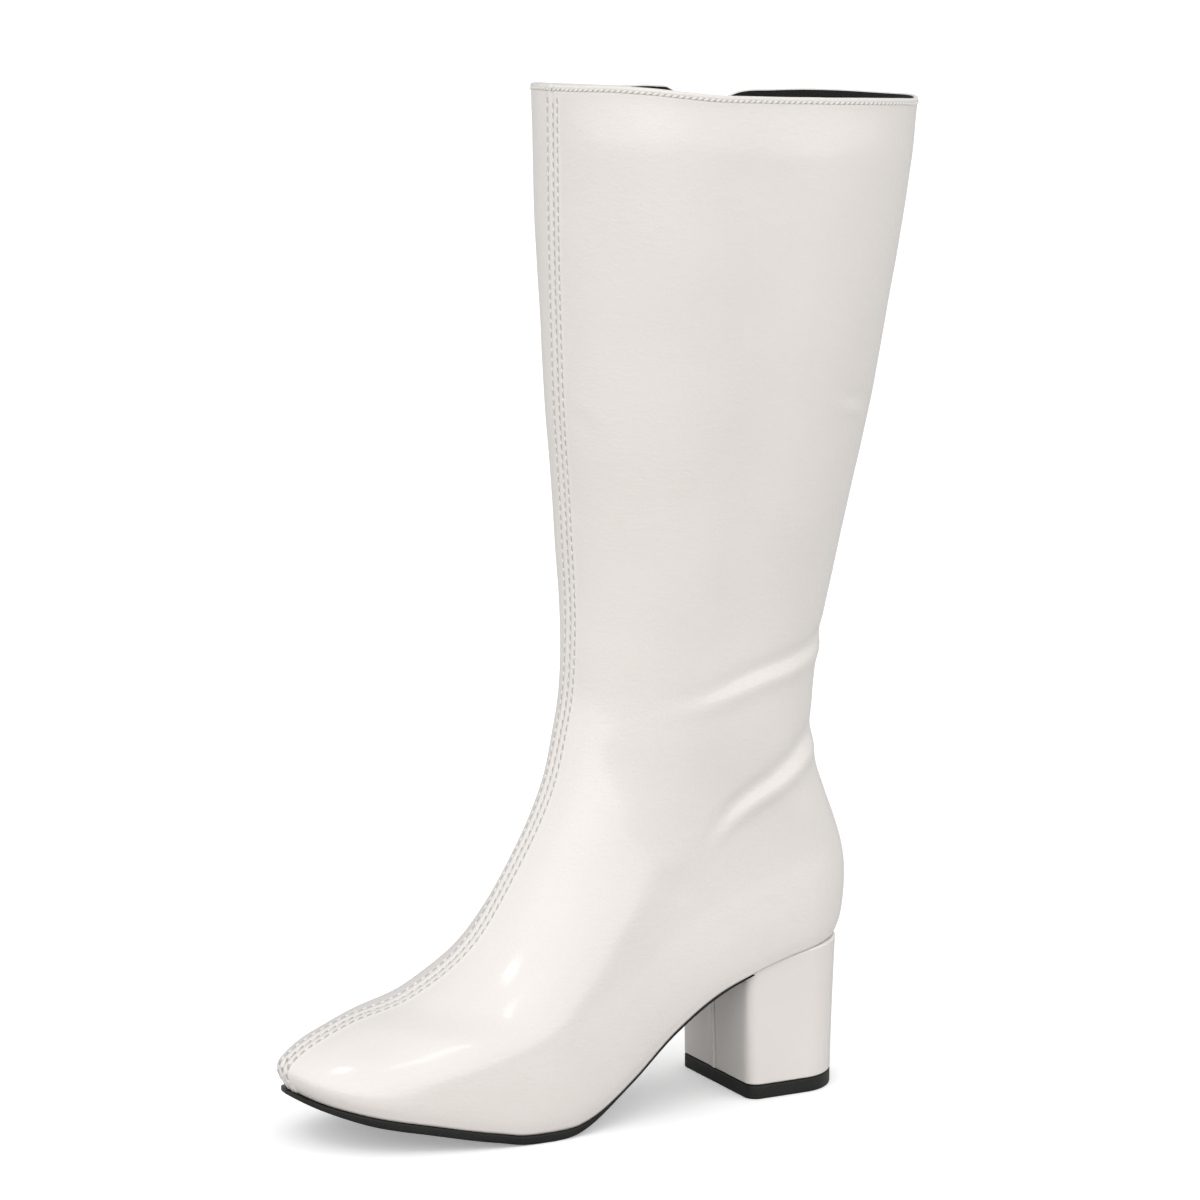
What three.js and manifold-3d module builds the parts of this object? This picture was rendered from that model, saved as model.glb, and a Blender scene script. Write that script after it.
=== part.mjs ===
// Mid-calf boot on a block heel, left shoe, in millimetres.
// The toe points to -Y, the outer side of the foot to +X, and +Z is up.
// The origin is on the floor, at the middle of the heel tip.
import * as THREE from 'three';
import { mergeVertices } from 'three/addons/utils/BufferGeometryUtils.js';
import Module from 'manifold-3d';

// Foot
const FOOT_LENGTH = 236;
const BALL_WIDTH = 75;
const SEAT_RISE = 59;
const INSTEP_HEIGHT = 153;
const TOE_CURVE = 12;

// Shaft
const ANKLE_HEIGHT = 143;
const ANKLE_DEPTH = 108.5;
const ANKLE_WIDTH = 71;
const ANKLE_SETBACK = 14.9;
const COLLAR_FRONT_HEIGHT = 398.6;
const COLLAR_BACK_HEIGHT = 390.6;
const COLLAR_DEPTH = 158;
const COLLAR_WIDTH = 108;

// Walls, sole and insole
const WALL = 2;
const LASTING_MARGIN = 11;
const SOLE = 3.4;
const SHANK = 1.6;
const SOLE_EDGE = 1;
const SOLE_BEVEL = 0.8;
const INSOLE = 2;
const GAP = 0.3;

// Heel
const HEEL_WIDTH = 57.5;
const HEEL_WAIST = 0.5;
const HEEL_LENGTH = 48.5;
const HEEL_SETBACK = 4.4;
const HEEL_ROUND = 21;
const HEEL_CORNER = 2.5;
const HEEL_TURN = 2.3;
const BREAST_RAKE = 1.5;
const TIP = 5.5;

// Front seam
const SEAM_WIDTH = 10;
const SEAM_SLOPE = 1;
const SEAM_RAISE = 0.5;
const SEAM_GROOVE = 1.6;

// Zip on the inner side
const ZIP_SLOT = 8;
const ZIP_DEPTH = 0.7;
const TEETH_WIDTH = 6.6;
const ZIP_THICK = 0.9;
const SLIDER_DROP = 12.5;
const SLIDER_WIDTH = 8.6;
const SLIDER_HEIGHT = 10.4;
const SLIDER_THICK = 2.2;
const CROWN_SPAN = 7;
const CROWN_WIDTH = 2;
const CROWN_LEG = 1;
const CROWN_ROOT = 0.5;
const TAB_LENGTH = 26;
const TAB_WIDTH = 6.4;
const TAB_THICK = 1;
const TAB_PLAY = 0.5;
const TAB_BAR = 1.2;

// Rings that other forms refer to, between the sole's edge (0) and the collar (1).
const RING = { ankle: 0.38, zipEnd: 0.21, zipTop: 0.985 };

// Stretches over which one form turns into another: two along the rings, one along the foot.
const BLEND = {
  footToShaft: { from: 0.17, to: 0.40 },
  collarEdge: { from: 0.90, to: 1.00 },
  shankToSole: { from: 0.38, to: 0.55 },
};

// Back and front lines of the foot's rings. Along is a share of FOOT_LENGTH. Lifts are heights
// over the sole's line, as shares of the way from SEAT_RISE to ANKLE_HEIGHT at the back and of
// INSTEP_HEIGHT at the front.
const FOOT_LINES = [
  { ring: 0.00, backAlong: 0.013, backLift: 0.000, frontAlong: 0.997, frontLift: 0.000 },
  { ring: 0.03, backAlong: 0.002, backLift: 0.066, frontAlong: 1.010, frontLift: 0.037 },
  { ring: 0.07, backAlong: -0.006, backLift: 0.184, frontAlong: 0.987, frontLift: 0.100 },
  { ring: 0.12, backAlong: -0.008, backLift: 0.315, frontAlong: 0.903, frontLift: 0.202 },
  { ring: 0.17, backAlong: -0.002, backLift: 0.434, frontAlong: 0.797, frontLift: 0.285 },
  { ring: 0.22, backAlong: 0.013, backLift: 0.558, frontAlong: 0.695, frontLift: 0.428 },
  { ring: 0.27, backAlong: 0.032, backLift: 0.681, frontAlong: 0.617, frontLift: 0.617 },
  { ring: 0.32, backAlong: 0.053, backLift: 0.828, frontAlong: 0.557, frontLift: 0.780 },
];

// Sections of the same rings. The roundings are shares of FOOT_LENGTH, swell is a share of
// BALL_WIDTH, and follow says how far a ring copies the sole's curve between its ends.
const FOOT_SECTIONS = [
  { ring: 0.00, swell: 0.000, backRound: 0.114, frontRound: 0.153, follow: 1.00 },
  { ring: 0.03, swell: 0.016, backRound: 0.123, frontRound: 0.157, follow: 1.00 },
  { ring: 0.07, swell: 0.024, backRound: 0.131, frontRound: 0.178, follow: 0.95 },
  { ring: 0.12, swell: 0.016, backRound: 0.131, frontRound: 0.228, follow: 0.88 },
  { ring: 0.17, swell: 0.004, backRound: 0.131, frontRound: 0.240, follow: 0.75 },
  { ring: 0.22, swell: 0.000, backRound: 0.131, frontRound: 0.245, follow: 0.55 },
  { ring: 0.27, swell: 0.000, backRound: 0.140, frontRound: 0.297, follow: 0.30 },
  { ring: 0.32, swell: 0.000, backRound: 0.157, frontRound: 0.280, follow: 0.10 },
];

// Back and front lines of the shaft's rings. Heights are shares of the way from the ankle to the
// collar, deepen is the share of the way from ANKLE_DEPTH to COLLAR_DEPTH, and lean moves the
// front line as a share of ANKLE_DEPTH.
const SHAFT_LINES = [
  { ring: 0.38, backUp: 0.000, frontUp: 0.000, deepen: 0.000, lean: 0.000 },
  { ring: 0.48, backUp: 0.133, frontUp: 0.143, deepen: -0.025, lean: -0.034 },
  { ring: 0.60, backUp: 0.302, frontUp: 0.322, deepen: 0.202, lean: -0.018 },
  { ring: 0.75, backUp: 0.535, frontUp: 0.550, deepen: 0.545, lean: 0.014 },
  { ring: 0.88, backUp: 0.777, frontUp: 0.778, deepen: 0.798, lean: 0.028 },
  { ring: 1.00, backUp: 1.000, frontUp: 1.000, deepen: 1.000, lean: 0.032 },
];

// Roundings of the same rings, as shares of each ring's own depth.
const SHAFT_SECTIONS = [
  { ring: 0.38, backRound: 0.39, frontRound: 0.52 },
  { ring: 0.48, backRound: 0.43, frontRound: 0.42 },
  { ring: 0.60, backRound: 0.46, frontRound: 0.38 },
  { ring: 0.75, backRound: 0.46, frontRound: 0.37 },
  { ring: 0.88, backRound: 0.45, frontRound: 0.31 },
  { ring: 1.00, backRound: 0.44, frontRound: 0.26 },
];

// Plan of the foot at the sole's edge. Along is a share of FOOT_LENGTH, wide of BALL_WIDTH (half
// widths), and shift moves the middle towards the outer side as a share of TOE_CURVE.
const PLAN = [
  { along: 0.000, wide: 0.367, shift: 0.00 },
  { along: 0.127, wide: 0.387, shift: 0.00 },
  { along: 0.254, wide: 0.387, shift: 0.04 },
  { along: 0.381, wide: 0.387, shift: 0.08 },
  { along: 0.508, wide: 0.440, shift: 0.04 },
  { along: 0.636, wide: 0.500, shift: -0.17 },
  { along: 0.742, wide: 0.500, shift: -0.42 },
  { along: 0.869, wide: 0.430, shift: -0.71 },
  { along: 1.017, wide: 0.373, shift: -1.00 },
];

// Height of the sole's edge, as a share of SEAT_RISE. It is level where the forefoot stands.
const SOLE_LINE = [
  { along: 0.000, up: 1.008 },
  { along: 0.106, up: 0.966 },
  { along: 0.212, up: 0.873 },
  { along: 0.297, up: 0.770 },
  { along: 0.381, up: 0.570 },
  { along: 0.466, up: 0.310 },
  { along: 0.551, up: 0.105 },
  { along: 0.636, up: 0.045 },
  { along: 0.720, up: 0.100 },
  { along: 0.826, up: 0.185 },
  { along: 0.932, up: 0.275 },
  { along: 1.017, up: 0.380 },
];

// Half width of the shaft. Up is the share of the way from ANKLE_HEIGHT to COLLAR_FRONT_HEIGHT,
// widen is the share of the way from ANKLE_WIDTH to COLLAR_WIDTH.
const SHAFT_WIDTHS = [
  { up: -0.329, widen: -0.360 },
  { up: -0.207, widen: -0.250 },
  { up: -0.090, widen: -0.110 },
  { up: 0.027, widen: 0.027 },
  { up: 0.184, widen: 0.135 },
  { up: 0.380, widen: 0.405 },
  { up: 0.614, widen: 0.730 },
  { up: 0.790, widen: 0.919 },
  { up: 1.006, widen: 1.000 },
];

// Height of the collar's edge from the back (across 0) to the front (1), on the outer and the
// inner side, as a share of the way from COLLAR_BACK_HEIGHT to COLLAR_FRONT_HEIGHT. The inner
// edge dips behind the zip.
const COLLAR_LINE = [
  { across: 0.00, outer: 0.26, inner: 0.26 },
  { across: 0.05, outer: 0.03, inner: 0.38 },
  { across: 0.20, outer: 0.13, inner: 0.36 },
  { across: 0.29, outer: 0.21, inner: 0.22 },
  { across: 0.35, outer: 0.26, inner: -0.30 },
  { across: 0.44, outer: 0.32, inner: -0.30 },
  { across: 0.48, outer: 0.35, inner: 0.48 },
  { across: 0.52, outer: 0.38, inner: 0.60 },
  { across: 0.62, outer: 0.46, inner: 0.62 },
  { across: 0.75, outer: 0.57, inner: 0.74 },
  { across: 0.83, outer: 0.74, inner: 0.82 },
  { across: 0.90, outer: 1.00, inner: 0.90 },
  { across: 0.96, outer: 1.20, inner: 0.95 },
  { across: 1.00, outer: 1.00, inner: 1.00 },
];

// Where the zip runs between the back (0) and the front (1) of each ring.
const ZIP_LINE = [
  { ring: 0.20, across: 0.40 },
  { ring: 0.38, across: 0.43 },
  { ring: 0.60, across: 0.45 },
  { ring: 1.00, across: 0.46 },
];

const FOOT_ROWS = 20;
const SHAFT_ROWS = 15;
const HALF_COLUMNS = 30;
const HEEL_STEPS = 20;

const lerp = (a, b, t) => a + (b - a) * t;
const clamp = (x) => Math.min(1, Math.max(0, x));
const blended = (x, stretch) => {
  const t = clamp((x - stretch.from) / (stretch.to - stretch.from));
  return t * t * (3 - 2 * t);
};

// A smooth curve through the table's rows.
function read(table, key, column, at) {
  const last = table.length - 1;
  const x = Math.min(table[last][key], Math.max(table[0][key], at));
  let i = 0;
  while (i < last - 1 && x > table[i + 1][key]) i += 1;
  const slope = (k) => (table[k + 1][column] - table[k][column]) / (table[k + 1][key] - table[k][key]);
  const tangent = (k) => {
    if (k === 0) return slope(0);
    if (k === last) return slope(last - 1);
    const before = table[k][key] - table[k - 1][key];
    const after = table[k + 1][key] - table[k][key];
    return (slope(k - 1) * after + slope(k) * before) / (before + after);
  };
  const h = table[i + 1][key] - table[i][key];
  const t = (x - table[i][key]) / h;
  const a = 2 * t ** 3 - 3 * t ** 2 + 1;
  const b = t ** 3 - 2 * t ** 2 + t;
  const c = 3 * t ** 2 - 2 * t ** 3;
  const d = t ** 3 - t ** 2;
  return a * table[i][column] + b * h * tangent(i) + c * table[i + 1][column] + d * h * tangent(i + 1);
}

const HEEL_MIDDLE = HEEL_SETBACK + HEEL_LENGTH / 2;
const soleEdgeHeight = (along) =>
  Math.max(SOLE + GAP, SEAT_RISE * read(SOLE_LINE, 'along', 'up', along / FOOT_LENGTH));

function footRing(line, section) {
  const backAlong = line.backAlong * FOOT_LENGTH;
  const frontAlong = line.frontAlong * FOOT_LENGTH;
  return {
    ring: line.ring,
    backAlong,
    backUp: soleEdgeHeight(backAlong) + line.backLift * (ANKLE_HEIGHT - SEAT_RISE),
    frontAlong,
    frontUp: soleEdgeHeight(frontAlong) + line.frontLift * INSTEP_HEIGHT,
    swell: section.swell * BALL_WIDTH,
    backRound: section.backRound * FOOT_LENGTH,
    frontRound: section.frontRound * FOOT_LENGTH,
    follow: section.follow,
  };
}

function shaftRing(line, section) {
  const depth = lerp(ANKLE_DEPTH, COLLAR_DEPTH, line.deepen);
  const frontAlong = ANKLE_SETBACK + ANKLE_DEPTH + line.lean * ANKLE_DEPTH;
  return {
    ring: line.ring,
    backAlong: frontAlong - depth,
    backUp: lerp(ANKLE_HEIGHT, COLLAR_BACK_HEIGHT, line.backUp),
    frontAlong,
    frontUp: lerp(INSTEP_HEIGHT, COLLAR_FRONT_HEIGHT, line.frontUp),
    swell: 0,
    backRound: section.backRound * depth,
    frontRound: section.frontRound * depth,
    follow: 0,
  };
}

// All the rings in millimetres, with the same columns.
const RINGS = [
  ...FOOT_LINES.map((line, k) => footRing(line, FOOT_SECTIONS[k])),
  ...SHAFT_LINES.map((line, k) => shaftRing(line, SHAFT_SECTIONS[k])),
];

const planHalf = (along) => BALL_WIDTH * read(PLAN, 'along', 'wide', along / FOOT_LENGTH);
const planShift = (along) => TOE_CURVE * read(PLAN, 'along', 'shift', along / FOOT_LENGTH);
const shaftHalf = (up) => {
  const share = (up - ANKLE_HEIGHT) / (COLLAR_FRONT_HEIGHT - ANKLE_HEIGHT);
  return lerp(ANKLE_WIDTH, COLLAR_WIDTH, read(SHAFT_WIDTHS, 'up', 'widen', share)) / 2;
};
const rounded = (distance, radius) => Math.sqrt(Math.max(0, 1 - (1 - clamp(distance / radius)) ** 2));
const ringAt = (ring) => {
  const row = {};
  for (const column of Object.keys(RINGS[0])) row[column] = read(RINGS, 'ring', column, ring);
  return row;
};
const zipAngle = (ring) => -Math.acos(1 - 2 * read(ZIP_LINE, 'ring', 'across', ring));

// The upper's outer surface. Angle 0 is the back, pi the front, positive the outer side.
function surface(ring, angle) {
  const row = ringAt(ring);
  const across = (1 - Math.cos(angle)) / 2;
  const side = Math.sin(angle) < 0 ? -1 : 1;
  const depth = row.frontAlong - row.backAlong;
  const along = row.backAlong + depth * across;
  const straight = lerp(row.backUp, row.frontUp, across);
  const backLift = row.backUp - soleEdgeHeight(row.backAlong);
  const frontLift = row.frontUp - soleEdgeHeight(row.frontAlong);
  const curved = soleEdgeHeight(along) + lerp(backLift, frontLift, across);
  let up = lerp(straight, curved, row.follow);
  const top = blended(ring, BLEND.collarEdge);
  const edge = read(COLLAR_LINE, 'across', side > 0 ? 'outer' : 'inner', across);
  up += top * (lerp(row.backUp, row.frontUp, edge) - straight);
  const shaftShare = blended(ring, BLEND.footToShaft);
  const half = lerp(planHalf(along) + row.swell, shaftHalf(up), shaftShare);
  const backEnd = rounded(depth * across, row.backRound);
  const frontEnd = rounded(depth * (1 - across), row.frontRound);
  const wide = half * backEnd * frontEnd;
  const middle = planShift(along) * (1 - shaftShare);
  return new THREE.Vector3(middle + side * wide, HEEL_MIDDLE - along, up);
}

function outward(ring, angle) {
  const step = 0.002;
  const below = Math.max(0, ring - step);
  const above = Math.min(1, ring + step);
  const rise = surface(above, angle).sub(surface(below, angle));
  const turn = surface(ring, angle + step).sub(surface(ring, angle - step));
  return rise.cross(turn).normalize();
}

const lifted = (ring, angle, lift) => surface(ring, angle).addScaledVector(outward(ring, angle), lift);

// The angle that lies a distance to the side of the front line of a ring.
function frontAngle(ring, distance) {
  const probe = 0.02;
  const reach = surface(ring, Math.PI - probe).distanceTo(surface(ring, Math.PI));
  return Math.PI - (distance / reach) * probe;
}

// The columns of a ring run once around it, with the seam's own columns at the front.
function columnsOf(ring) {
  const marks = [0, SEAM_GROOVE / 2, SEAM_WIDTH / 2 - SEAM_SLOPE, SEAM_WIDTH / 2];
  const half = marks.map((distance) => frontAngle(ring, distance));
  const rest = HALF_COLUMNS - marks.length + 1;
  const start = half[half.length - 1];
  for (let k = 1; k <= rest; k += 1) half.push(start * (1 - k / rest));
  const mirrored = half.slice(1, -1).reverse().map((angle) => -angle);
  return [...half, ...mirrored];
}
const seamRaise = (column) => {
  const k = Math.min(column, 2 * HALF_COLUMNS - column);
  return k === 1 || k === 2 ? SEAM_RAISE : 0;
};

// Joins rings of points into a skin. Rings close on themselves; loop joins the last to the first.
function skin(rings, { loop = false, caps = 'none' } = {}) {
  const count = rings[0].length;
  const positions = rings.flat().flatMap((p) => [p.x, p.y, p.z]);
  const faces = [];
  const spans = loop ? rings.length : rings.length - 1;
  for (let i = 0; i < spans; i += 1) {
    const a = i * count;
    const b = ((i + 1) % rings.length) * count;
    for (let j = 0; j < count; j += 1) {
      const k = (j + 1) % count;
      faces.push(a + j, a + k, b + k, a + j, b + k, b + j);
    }
  }
  const lid = (base, flip) => {
    const add = (p, q, r) => {
      if (flip) faces.push(base + p, base + r, base + q);
      else faces.push(base + p, base + q, base + r);
    };
    if (caps === 'fan') {
      for (let j = 1; j < count - 1; j += 1) add(0, j, j + 1);
    }
    if (caps === 'strips') {
      for (let j = 0; j < count / 2 - 1; j += 1) {
        add(j, j + 1, count - 2 - j);
        add(j, count - 2 - j, count - 1 - j);
      }
    }
  };
  if (caps !== 'none') {
    lid(0, true);
    lid((rings.length - 1) * count, false);
  }
  const geometry = new THREE.BufferGeometry();
  geometry.setAttribute('position', new THREE.Float32BufferAttribute(positions, 3));
  geometry.setIndex(faces);
  return facingOut(geometry);
}

function volumeOf(geometry) {
  const p = geometry.attributes.position;
  const index = geometry.index.array;
  const [a, b, c] = [new THREE.Vector3(), new THREE.Vector3(), new THREE.Vector3()];
  let total = 0;
  for (let i = 0; i < index.length; i += 3) {
    a.fromBufferAttribute(p, index[i]);
    b.fromBufferAttribute(p, index[i + 1]);
    c.fromBufferAttribute(p, index[i + 2]);
    total += a.dot(b.cross(c)) / 6;
  }
  return total;
}

function facingOut(geometry) {
  if (volumeOf(geometry) > 0) return geometry;
  const index = geometry.index.array;
  for (let i = 0; i < index.length; i += 3) {
    const held = index[i + 1];
    index[i + 1] = index[i + 2];
    index[i + 2] = held;
  }
  return geometry;
}

const wasm = await Module();
wasm.setup();

function toSolid(geometry) {
  const bare = geometry.clone();
  bare.deleteAttribute('normal');
  bare.deleteAttribute('uv');
  const merged = mergeVertices(bare, 1e-4);
  return new wasm.Manifold(new wasm.Mesh({
    numProp: 3,
    vertProperties: Float32Array.from(merged.attributes.position.array),
    triVerts: Uint32Array.from(merged.index.array),
  }));
}

function toGeometry(solid) {
  const mesh = solid.getMesh();
  const geometry = new THREE.BufferGeometry();
  const positions = [];
  for (let i = 0; i < mesh.vertProperties.length; i += mesh.numProp) {
    positions.push(...mesh.vertProperties.slice(i, i + 3));
  }
  geometry.setAttribute('position', new THREE.Float32BufferAttribute(positions, 3));
  geometry.setIndex(Array.from(mesh.triVerts));
  return geometry;
}

const join = (geometries) => toGeometry(geometries.map(toSolid).reduce((whole, next) => whole.add(next)));
const cut = (geometry, tool) => toGeometry(toSolid(geometry).subtract(toSolid(tool)));

// Upper: outer skin, inner skin and the margin that is turned under the foot.
function upperRows() {
  const rows = [];
  for (let i = 0; i < FOOT_ROWS; i += 1) rows.push((RING.ankle * i) / FOOT_ROWS);
  for (let i = 0; i <= SHAFT_ROWS; i += 1) rows.push(lerp(RING.ankle, 1, i / SHAFT_ROWS));
  return rows;
}

// A point of the plan, moved in from the sole's edge and set at a height above that edge.
function underfoot(angle, inset, lift) {
  const edge = surface(0, angle);
  const out = outward(0, angle).setZ(0).normalize();
  const point = edge.addScaledVector(out, -inset);
  return point.setZ(soleEdgeHeight(HEEL_MIDDLE - point.y) + lift);
}

function upperGeometry() {
  const rows = upperRows();
  const ringOf = (ring, liftAt) => columnsOf(ring).map((angle, k) => lifted(ring, angle, liftAt(k)));
  const outer = rows.map((ring) => ringOf(ring, seamRaise));
  const inner = rows.slice(1).map((ring) => ringOf(ring, () => -WALL));
  const base = columnsOf(0);
  const corner = base.map((angle) => underfoot(angle, WALL, WALL));
  const marginTop = base.map((angle) => underfoot(angle, LASTING_MARGIN, WALL));
  const marginUnder = base.map((angle) => underfoot(angle, LASTING_MARGIN, 0));
  return skin([...outer, ...inner.reverse(), corner, marginTop, marginUnder], { loop: true });
}

// A strip that lies along the zip, between two lifts off the upper's outer skin.
function zipStrip(wide, from, to, rings, overrun) {
  const sections = rings.map((ring) => {
    const middle = zipAngle(ring);
    const probe = 0.01;
    const reach = surface(ring, middle + probe).distanceTo(surface(ring, middle)) / probe;
    const swing = wide / 2 / reach;
    const angles = [middle - swing, middle, middle + swing];
    const under = angles.map((angle) => lifted(ring, angle, from));
    const over = angles.map((angle) => lifted(ring, angle, to));
    return [...under, ...over.reverse()];
  });
  if (overrun > 0) {
    const last = sections[sections.length - 1];
    sections.push(last.map((p) => p.clone().setZ(p.z + overrun)));
  }
  return skin(sections, { caps: 'strips' });
}

const zipRings = (end) => [
  RING.zipEnd,
  ...upperRows().filter((ring) => ring > RING.zipEnd && ring < end),
  end,
];
const pastCollar = COLLAR_FRONT_HEIGHT - COLLAR_BACK_HEIGHT;
const slot = zipStrip(ZIP_SLOT, -ZIP_DEPTH, WALL, zipRings(1), pastCollar);
const upper = cut(upperGeometry(), slot);
const teethUnder = -ZIP_DEPTH + GAP;
const teeth = zipStrip(TEETH_WIDTH, teethUnder, teethUnder + ZIP_THICK, zipRings(RING.zipTop), 0);

// Slabs that follow the sole's curve: sections across the foot from the back to the toe.
const soleThick = (along) => lerp(SHANK, SOLE, blended(along / FOOT_LENGTH, BLEND.shankToSole));

const stations = columnsOf(0).slice(1, HALF_COLUMNS);
const slab = (angles, section) => skin(angles.map(section), { caps: 'fan' });

// The insole lies on the turned margin, and the outsole lies under it, each GAP away.
function insoleSection(angle) {
  const under = (turn) => [WALL + GAP, LASTING_MARGIN].map((inset) => underfoot(turn, inset, WALL + GAP));
  const over = (turn) => underfoot(turn, WALL + GAP, WALL + GAP + INSOLE);
  const [right, left] = [under(angle), under(-angle)];
  return [right[0], right[1], left[1], left[0], over(-angle), over(angle)];
}
const insole = slab([...stations, stations[stations.length - 1] / 2], insoleSection);

// The outsole's edge is upright down to a share of its thickness, and bevelled below it.
const BEVEL_START = 0.6;

function outsoleSection(angle) {
  const side = (turn) => {
    const edge = underfoot(turn, 0, -GAP);
    const spread = (wide, drop) => {
      const point = underfoot(turn, -wide, 0);
      return point.setZ(edge.z - drop * soleThick(HEEL_MIDDLE - edge.y));
    };
    return [
      underfoot(turn, LASTING_MARGIN, -GAP),
      spread(SOLE_EDGE, 0),
      spread(SOLE_EDGE, BEVEL_START),
      spread(SOLE_EDGE - SOLE_BEVEL, 1),
    ];
  };
  return [...side(angle), ...side(-angle).reverse()];
}
const heelTurn = THREE.MathUtils.degToRad(HEEL_TURN);
const heelFront = HEEL_SETBACK + HEEL_LENGTH;
const edgeRing = ringAt(0);
const soleSpare = HEEL_WIDTH / 4;
const edgeDepth = edgeRing.frontAlong - edgeRing.backAlong;
const underHeel = (heelFront - soleSpare - edgeRing.backAlong) / edgeDepth;
const soleStart = Math.acos(1 - 2 * underHeel);
const wholeSole = slab([...stations.filter((angle) => angle > soleStart), soleStart], outsoleSection);
const behindBreast = new THREE.BoxGeometry(2 * HEEL_WIDTH, HEEL_WIDTH, 2 * SEAT_RISE)
  .translate(0, HEEL_WIDTH / 2 - HEEL_LENGTH / 2 - GAP, SEAT_RISE)
  .translate(0, 0, -TIP)
  .rotateX(Math.atan2(BREAST_RAKE, SEAT_RISE - TIP))
  .translate(0, 0, TIP)
  .rotateZ(-heelTurn);
const outsole = cut(wholeSole, behindBreast);

// Heel: a D in plan, round at the back, with a flat breast and rounded front corners.
const CORNER_CUT = 1 - Math.SQRT1_2;

function heelOutline(halfWidth, back, front) {
  const points = [];
  const add = (x, along) => {
    const a = along - HEEL_MIDDLE;
    points.push(new THREE.Vector2(
      x * Math.cos(heelTurn) - a * Math.sin(heelTurn),
      HEEL_MIDDLE + a * Math.cos(heelTurn) + x * Math.sin(heelTurn),
    ));
  };
  add(halfWidth - HEEL_CORNER, front);
  add(halfWidth - CORNER_CUT * HEEL_CORNER, front - CORNER_CUT * HEEL_CORNER);
  add(halfWidth, front - HEEL_CORNER);
  for (let k = 0; k <= HEEL_STEPS; k += 1) {
    const a = (Math.PI * k) / HEEL_STEPS;
    add(halfWidth * Math.cos(a), back + HEEL_ROUND * (1 - Math.sin(a)));
  }
  add(-halfWidth, front - HEEL_CORNER);
  add(-halfWidth + CORNER_CUT * HEEL_CORNER, front - CORNER_CUT * HEEL_CORNER);
  add(-halfWidth + HEEL_CORNER, front);
  return points;
}

function heelRing(share) {
  const half = HEEL_WIDTH / 2 - HEEL_WAIST * Math.sin(Math.PI * share);
  const back = lerp(HEEL_SETBACK, HEEL_SETBACK / 2, share);
  const outline = heelOutline(half, back, heelFront + BREAST_RAKE * share);
  const floor = TIP + GAP;
  return outline.map((p) => new THREE.Vector3(
    p.x,
    HEEL_MIDDLE - p.y,
    lerp(floor, soleEdgeHeight(p.y) - GAP, share),
  ));
}
const heel = skin([0, 0.25, 0.5, 0.75, 1].map(heelRing), { caps: 'strips' });
const tipOutline = heelOutline(HEEL_WIDTH / 2, HEEL_SETBACK, heelFront);
const tipRing = (up) => tipOutline.map((p) => new THREE.Vector3(p.x, HEEL_MIDDLE - p.y, up));
const tip = skin([tipRing(0), tipRing(TIP)], { caps: 'strips' });

// Zip slider and pull tab, in their own frame: X along the foot, Y up the zip, Z off the wall.
function block(wide, high, deep, x, y, z) {
  return new THREE.BoxGeometry(wide, high, deep).translate(x, y, z);
}
const barRadius = TAB_BAR / 2;
const barRise = barRadius + TAB_PLAY;
const crownUnder = barRise + barRadius + TAB_PLAY;
const crownInner = CROWN_SPAN / 2 - CROWN_LEG;
const crownRise = crownUnder + CROWN_LEG;
const tabOpening = crownInner + CROWN_LEG + TAB_PLAY + barRadius;
const tabOpeningWide = CROWN_WIDTH + 2 * TAB_PLAY;
const BAR_SIDES = 10;

function crownLeg(end) {
  const along = end * (crownInner + CROWN_LEG / 2);
  const middle = SLIDER_THICK + (crownRise - CROWN_ROOT) / 2;
  return block(CROWN_WIDTH, CROWN_LEG, crownRise + CROWN_ROOT, 0, along, middle);
}
const sliderBody = join([
  block(SLIDER_WIDTH, SLIDER_HEIGHT, SLIDER_THICK, 0, 0, SLIDER_THICK / 2),
  crownLeg(1),
  crownLeg(-1),
  block(CROWN_WIDTH, CROWN_SPAN, CROWN_LEG, 0, 0, SLIDER_THICK + crownUnder + CROWN_LEG / 2),
]);

function tabGeometry() {
  const rail = (TAB_WIDTH - tabOpeningWide) / 2;
  const railMiddle = (TAB_WIDTH - rail) / 2;
  const railLong = tabOpening + TAB_THICK;
  const plateLong = TAB_LENGTH - tabOpening;
  return join([
    new THREE.CylinderGeometry(barRadius, barRadius, TAB_WIDTH, BAR_SIDES).rotateZ(Math.PI / 2),
    block(rail, railLong, TAB_THICK, railMiddle, -railLong / 2, 0),
    block(rail, railLong, TAB_THICK, -railMiddle, -railLong / 2, 0),
    block(TAB_WIDTH, plateLong, TAB_THICK, 0, -tabOpening - plateLong / 2, 0),
  ]);
}

const shaftRise = COLLAR_BACK_HEIGHT - ANKLE_HEIGHT;
const sliderRing = 1 - (SLIDER_DROP / shaftRise) * (1 - RING.ankle);
const sliderAngle = zipAngle(sliderRing);
const sliderSeat = surface(sliderRing, sliderAngle);
const wallOut = outward(sliderRing, sliderAngle);
const lean = Math.atan2(wallOut.z, Math.abs(wallOut.x));

const white = new THREE.MeshStandardMaterial({ color: 0xe9e6e0, roughness: 0.16, metalness: 0 });
const black = new THREE.MeshStandardMaterial({ color: 0x161616, roughness: 0.6, metalness: 0 });
const cloth = new THREE.MeshStandardMaterial({ color: 0x1b1b1c, roughness: 0.9, metalness: 0 });
const coil = new THREE.MeshStandardMaterial({ color: 0xd8d5cf, roughness: 0.5, metalness: 0 });
const metal = new THREE.MeshStandardMaterial({ color: 0xb9bbbe, roughness: 0.3, metalness: 1 });

function piece(name, geometry, material) {
  const mesh = new THREE.Mesh(geometry, material);
  mesh.name = name;
  return mesh;
}

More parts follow.
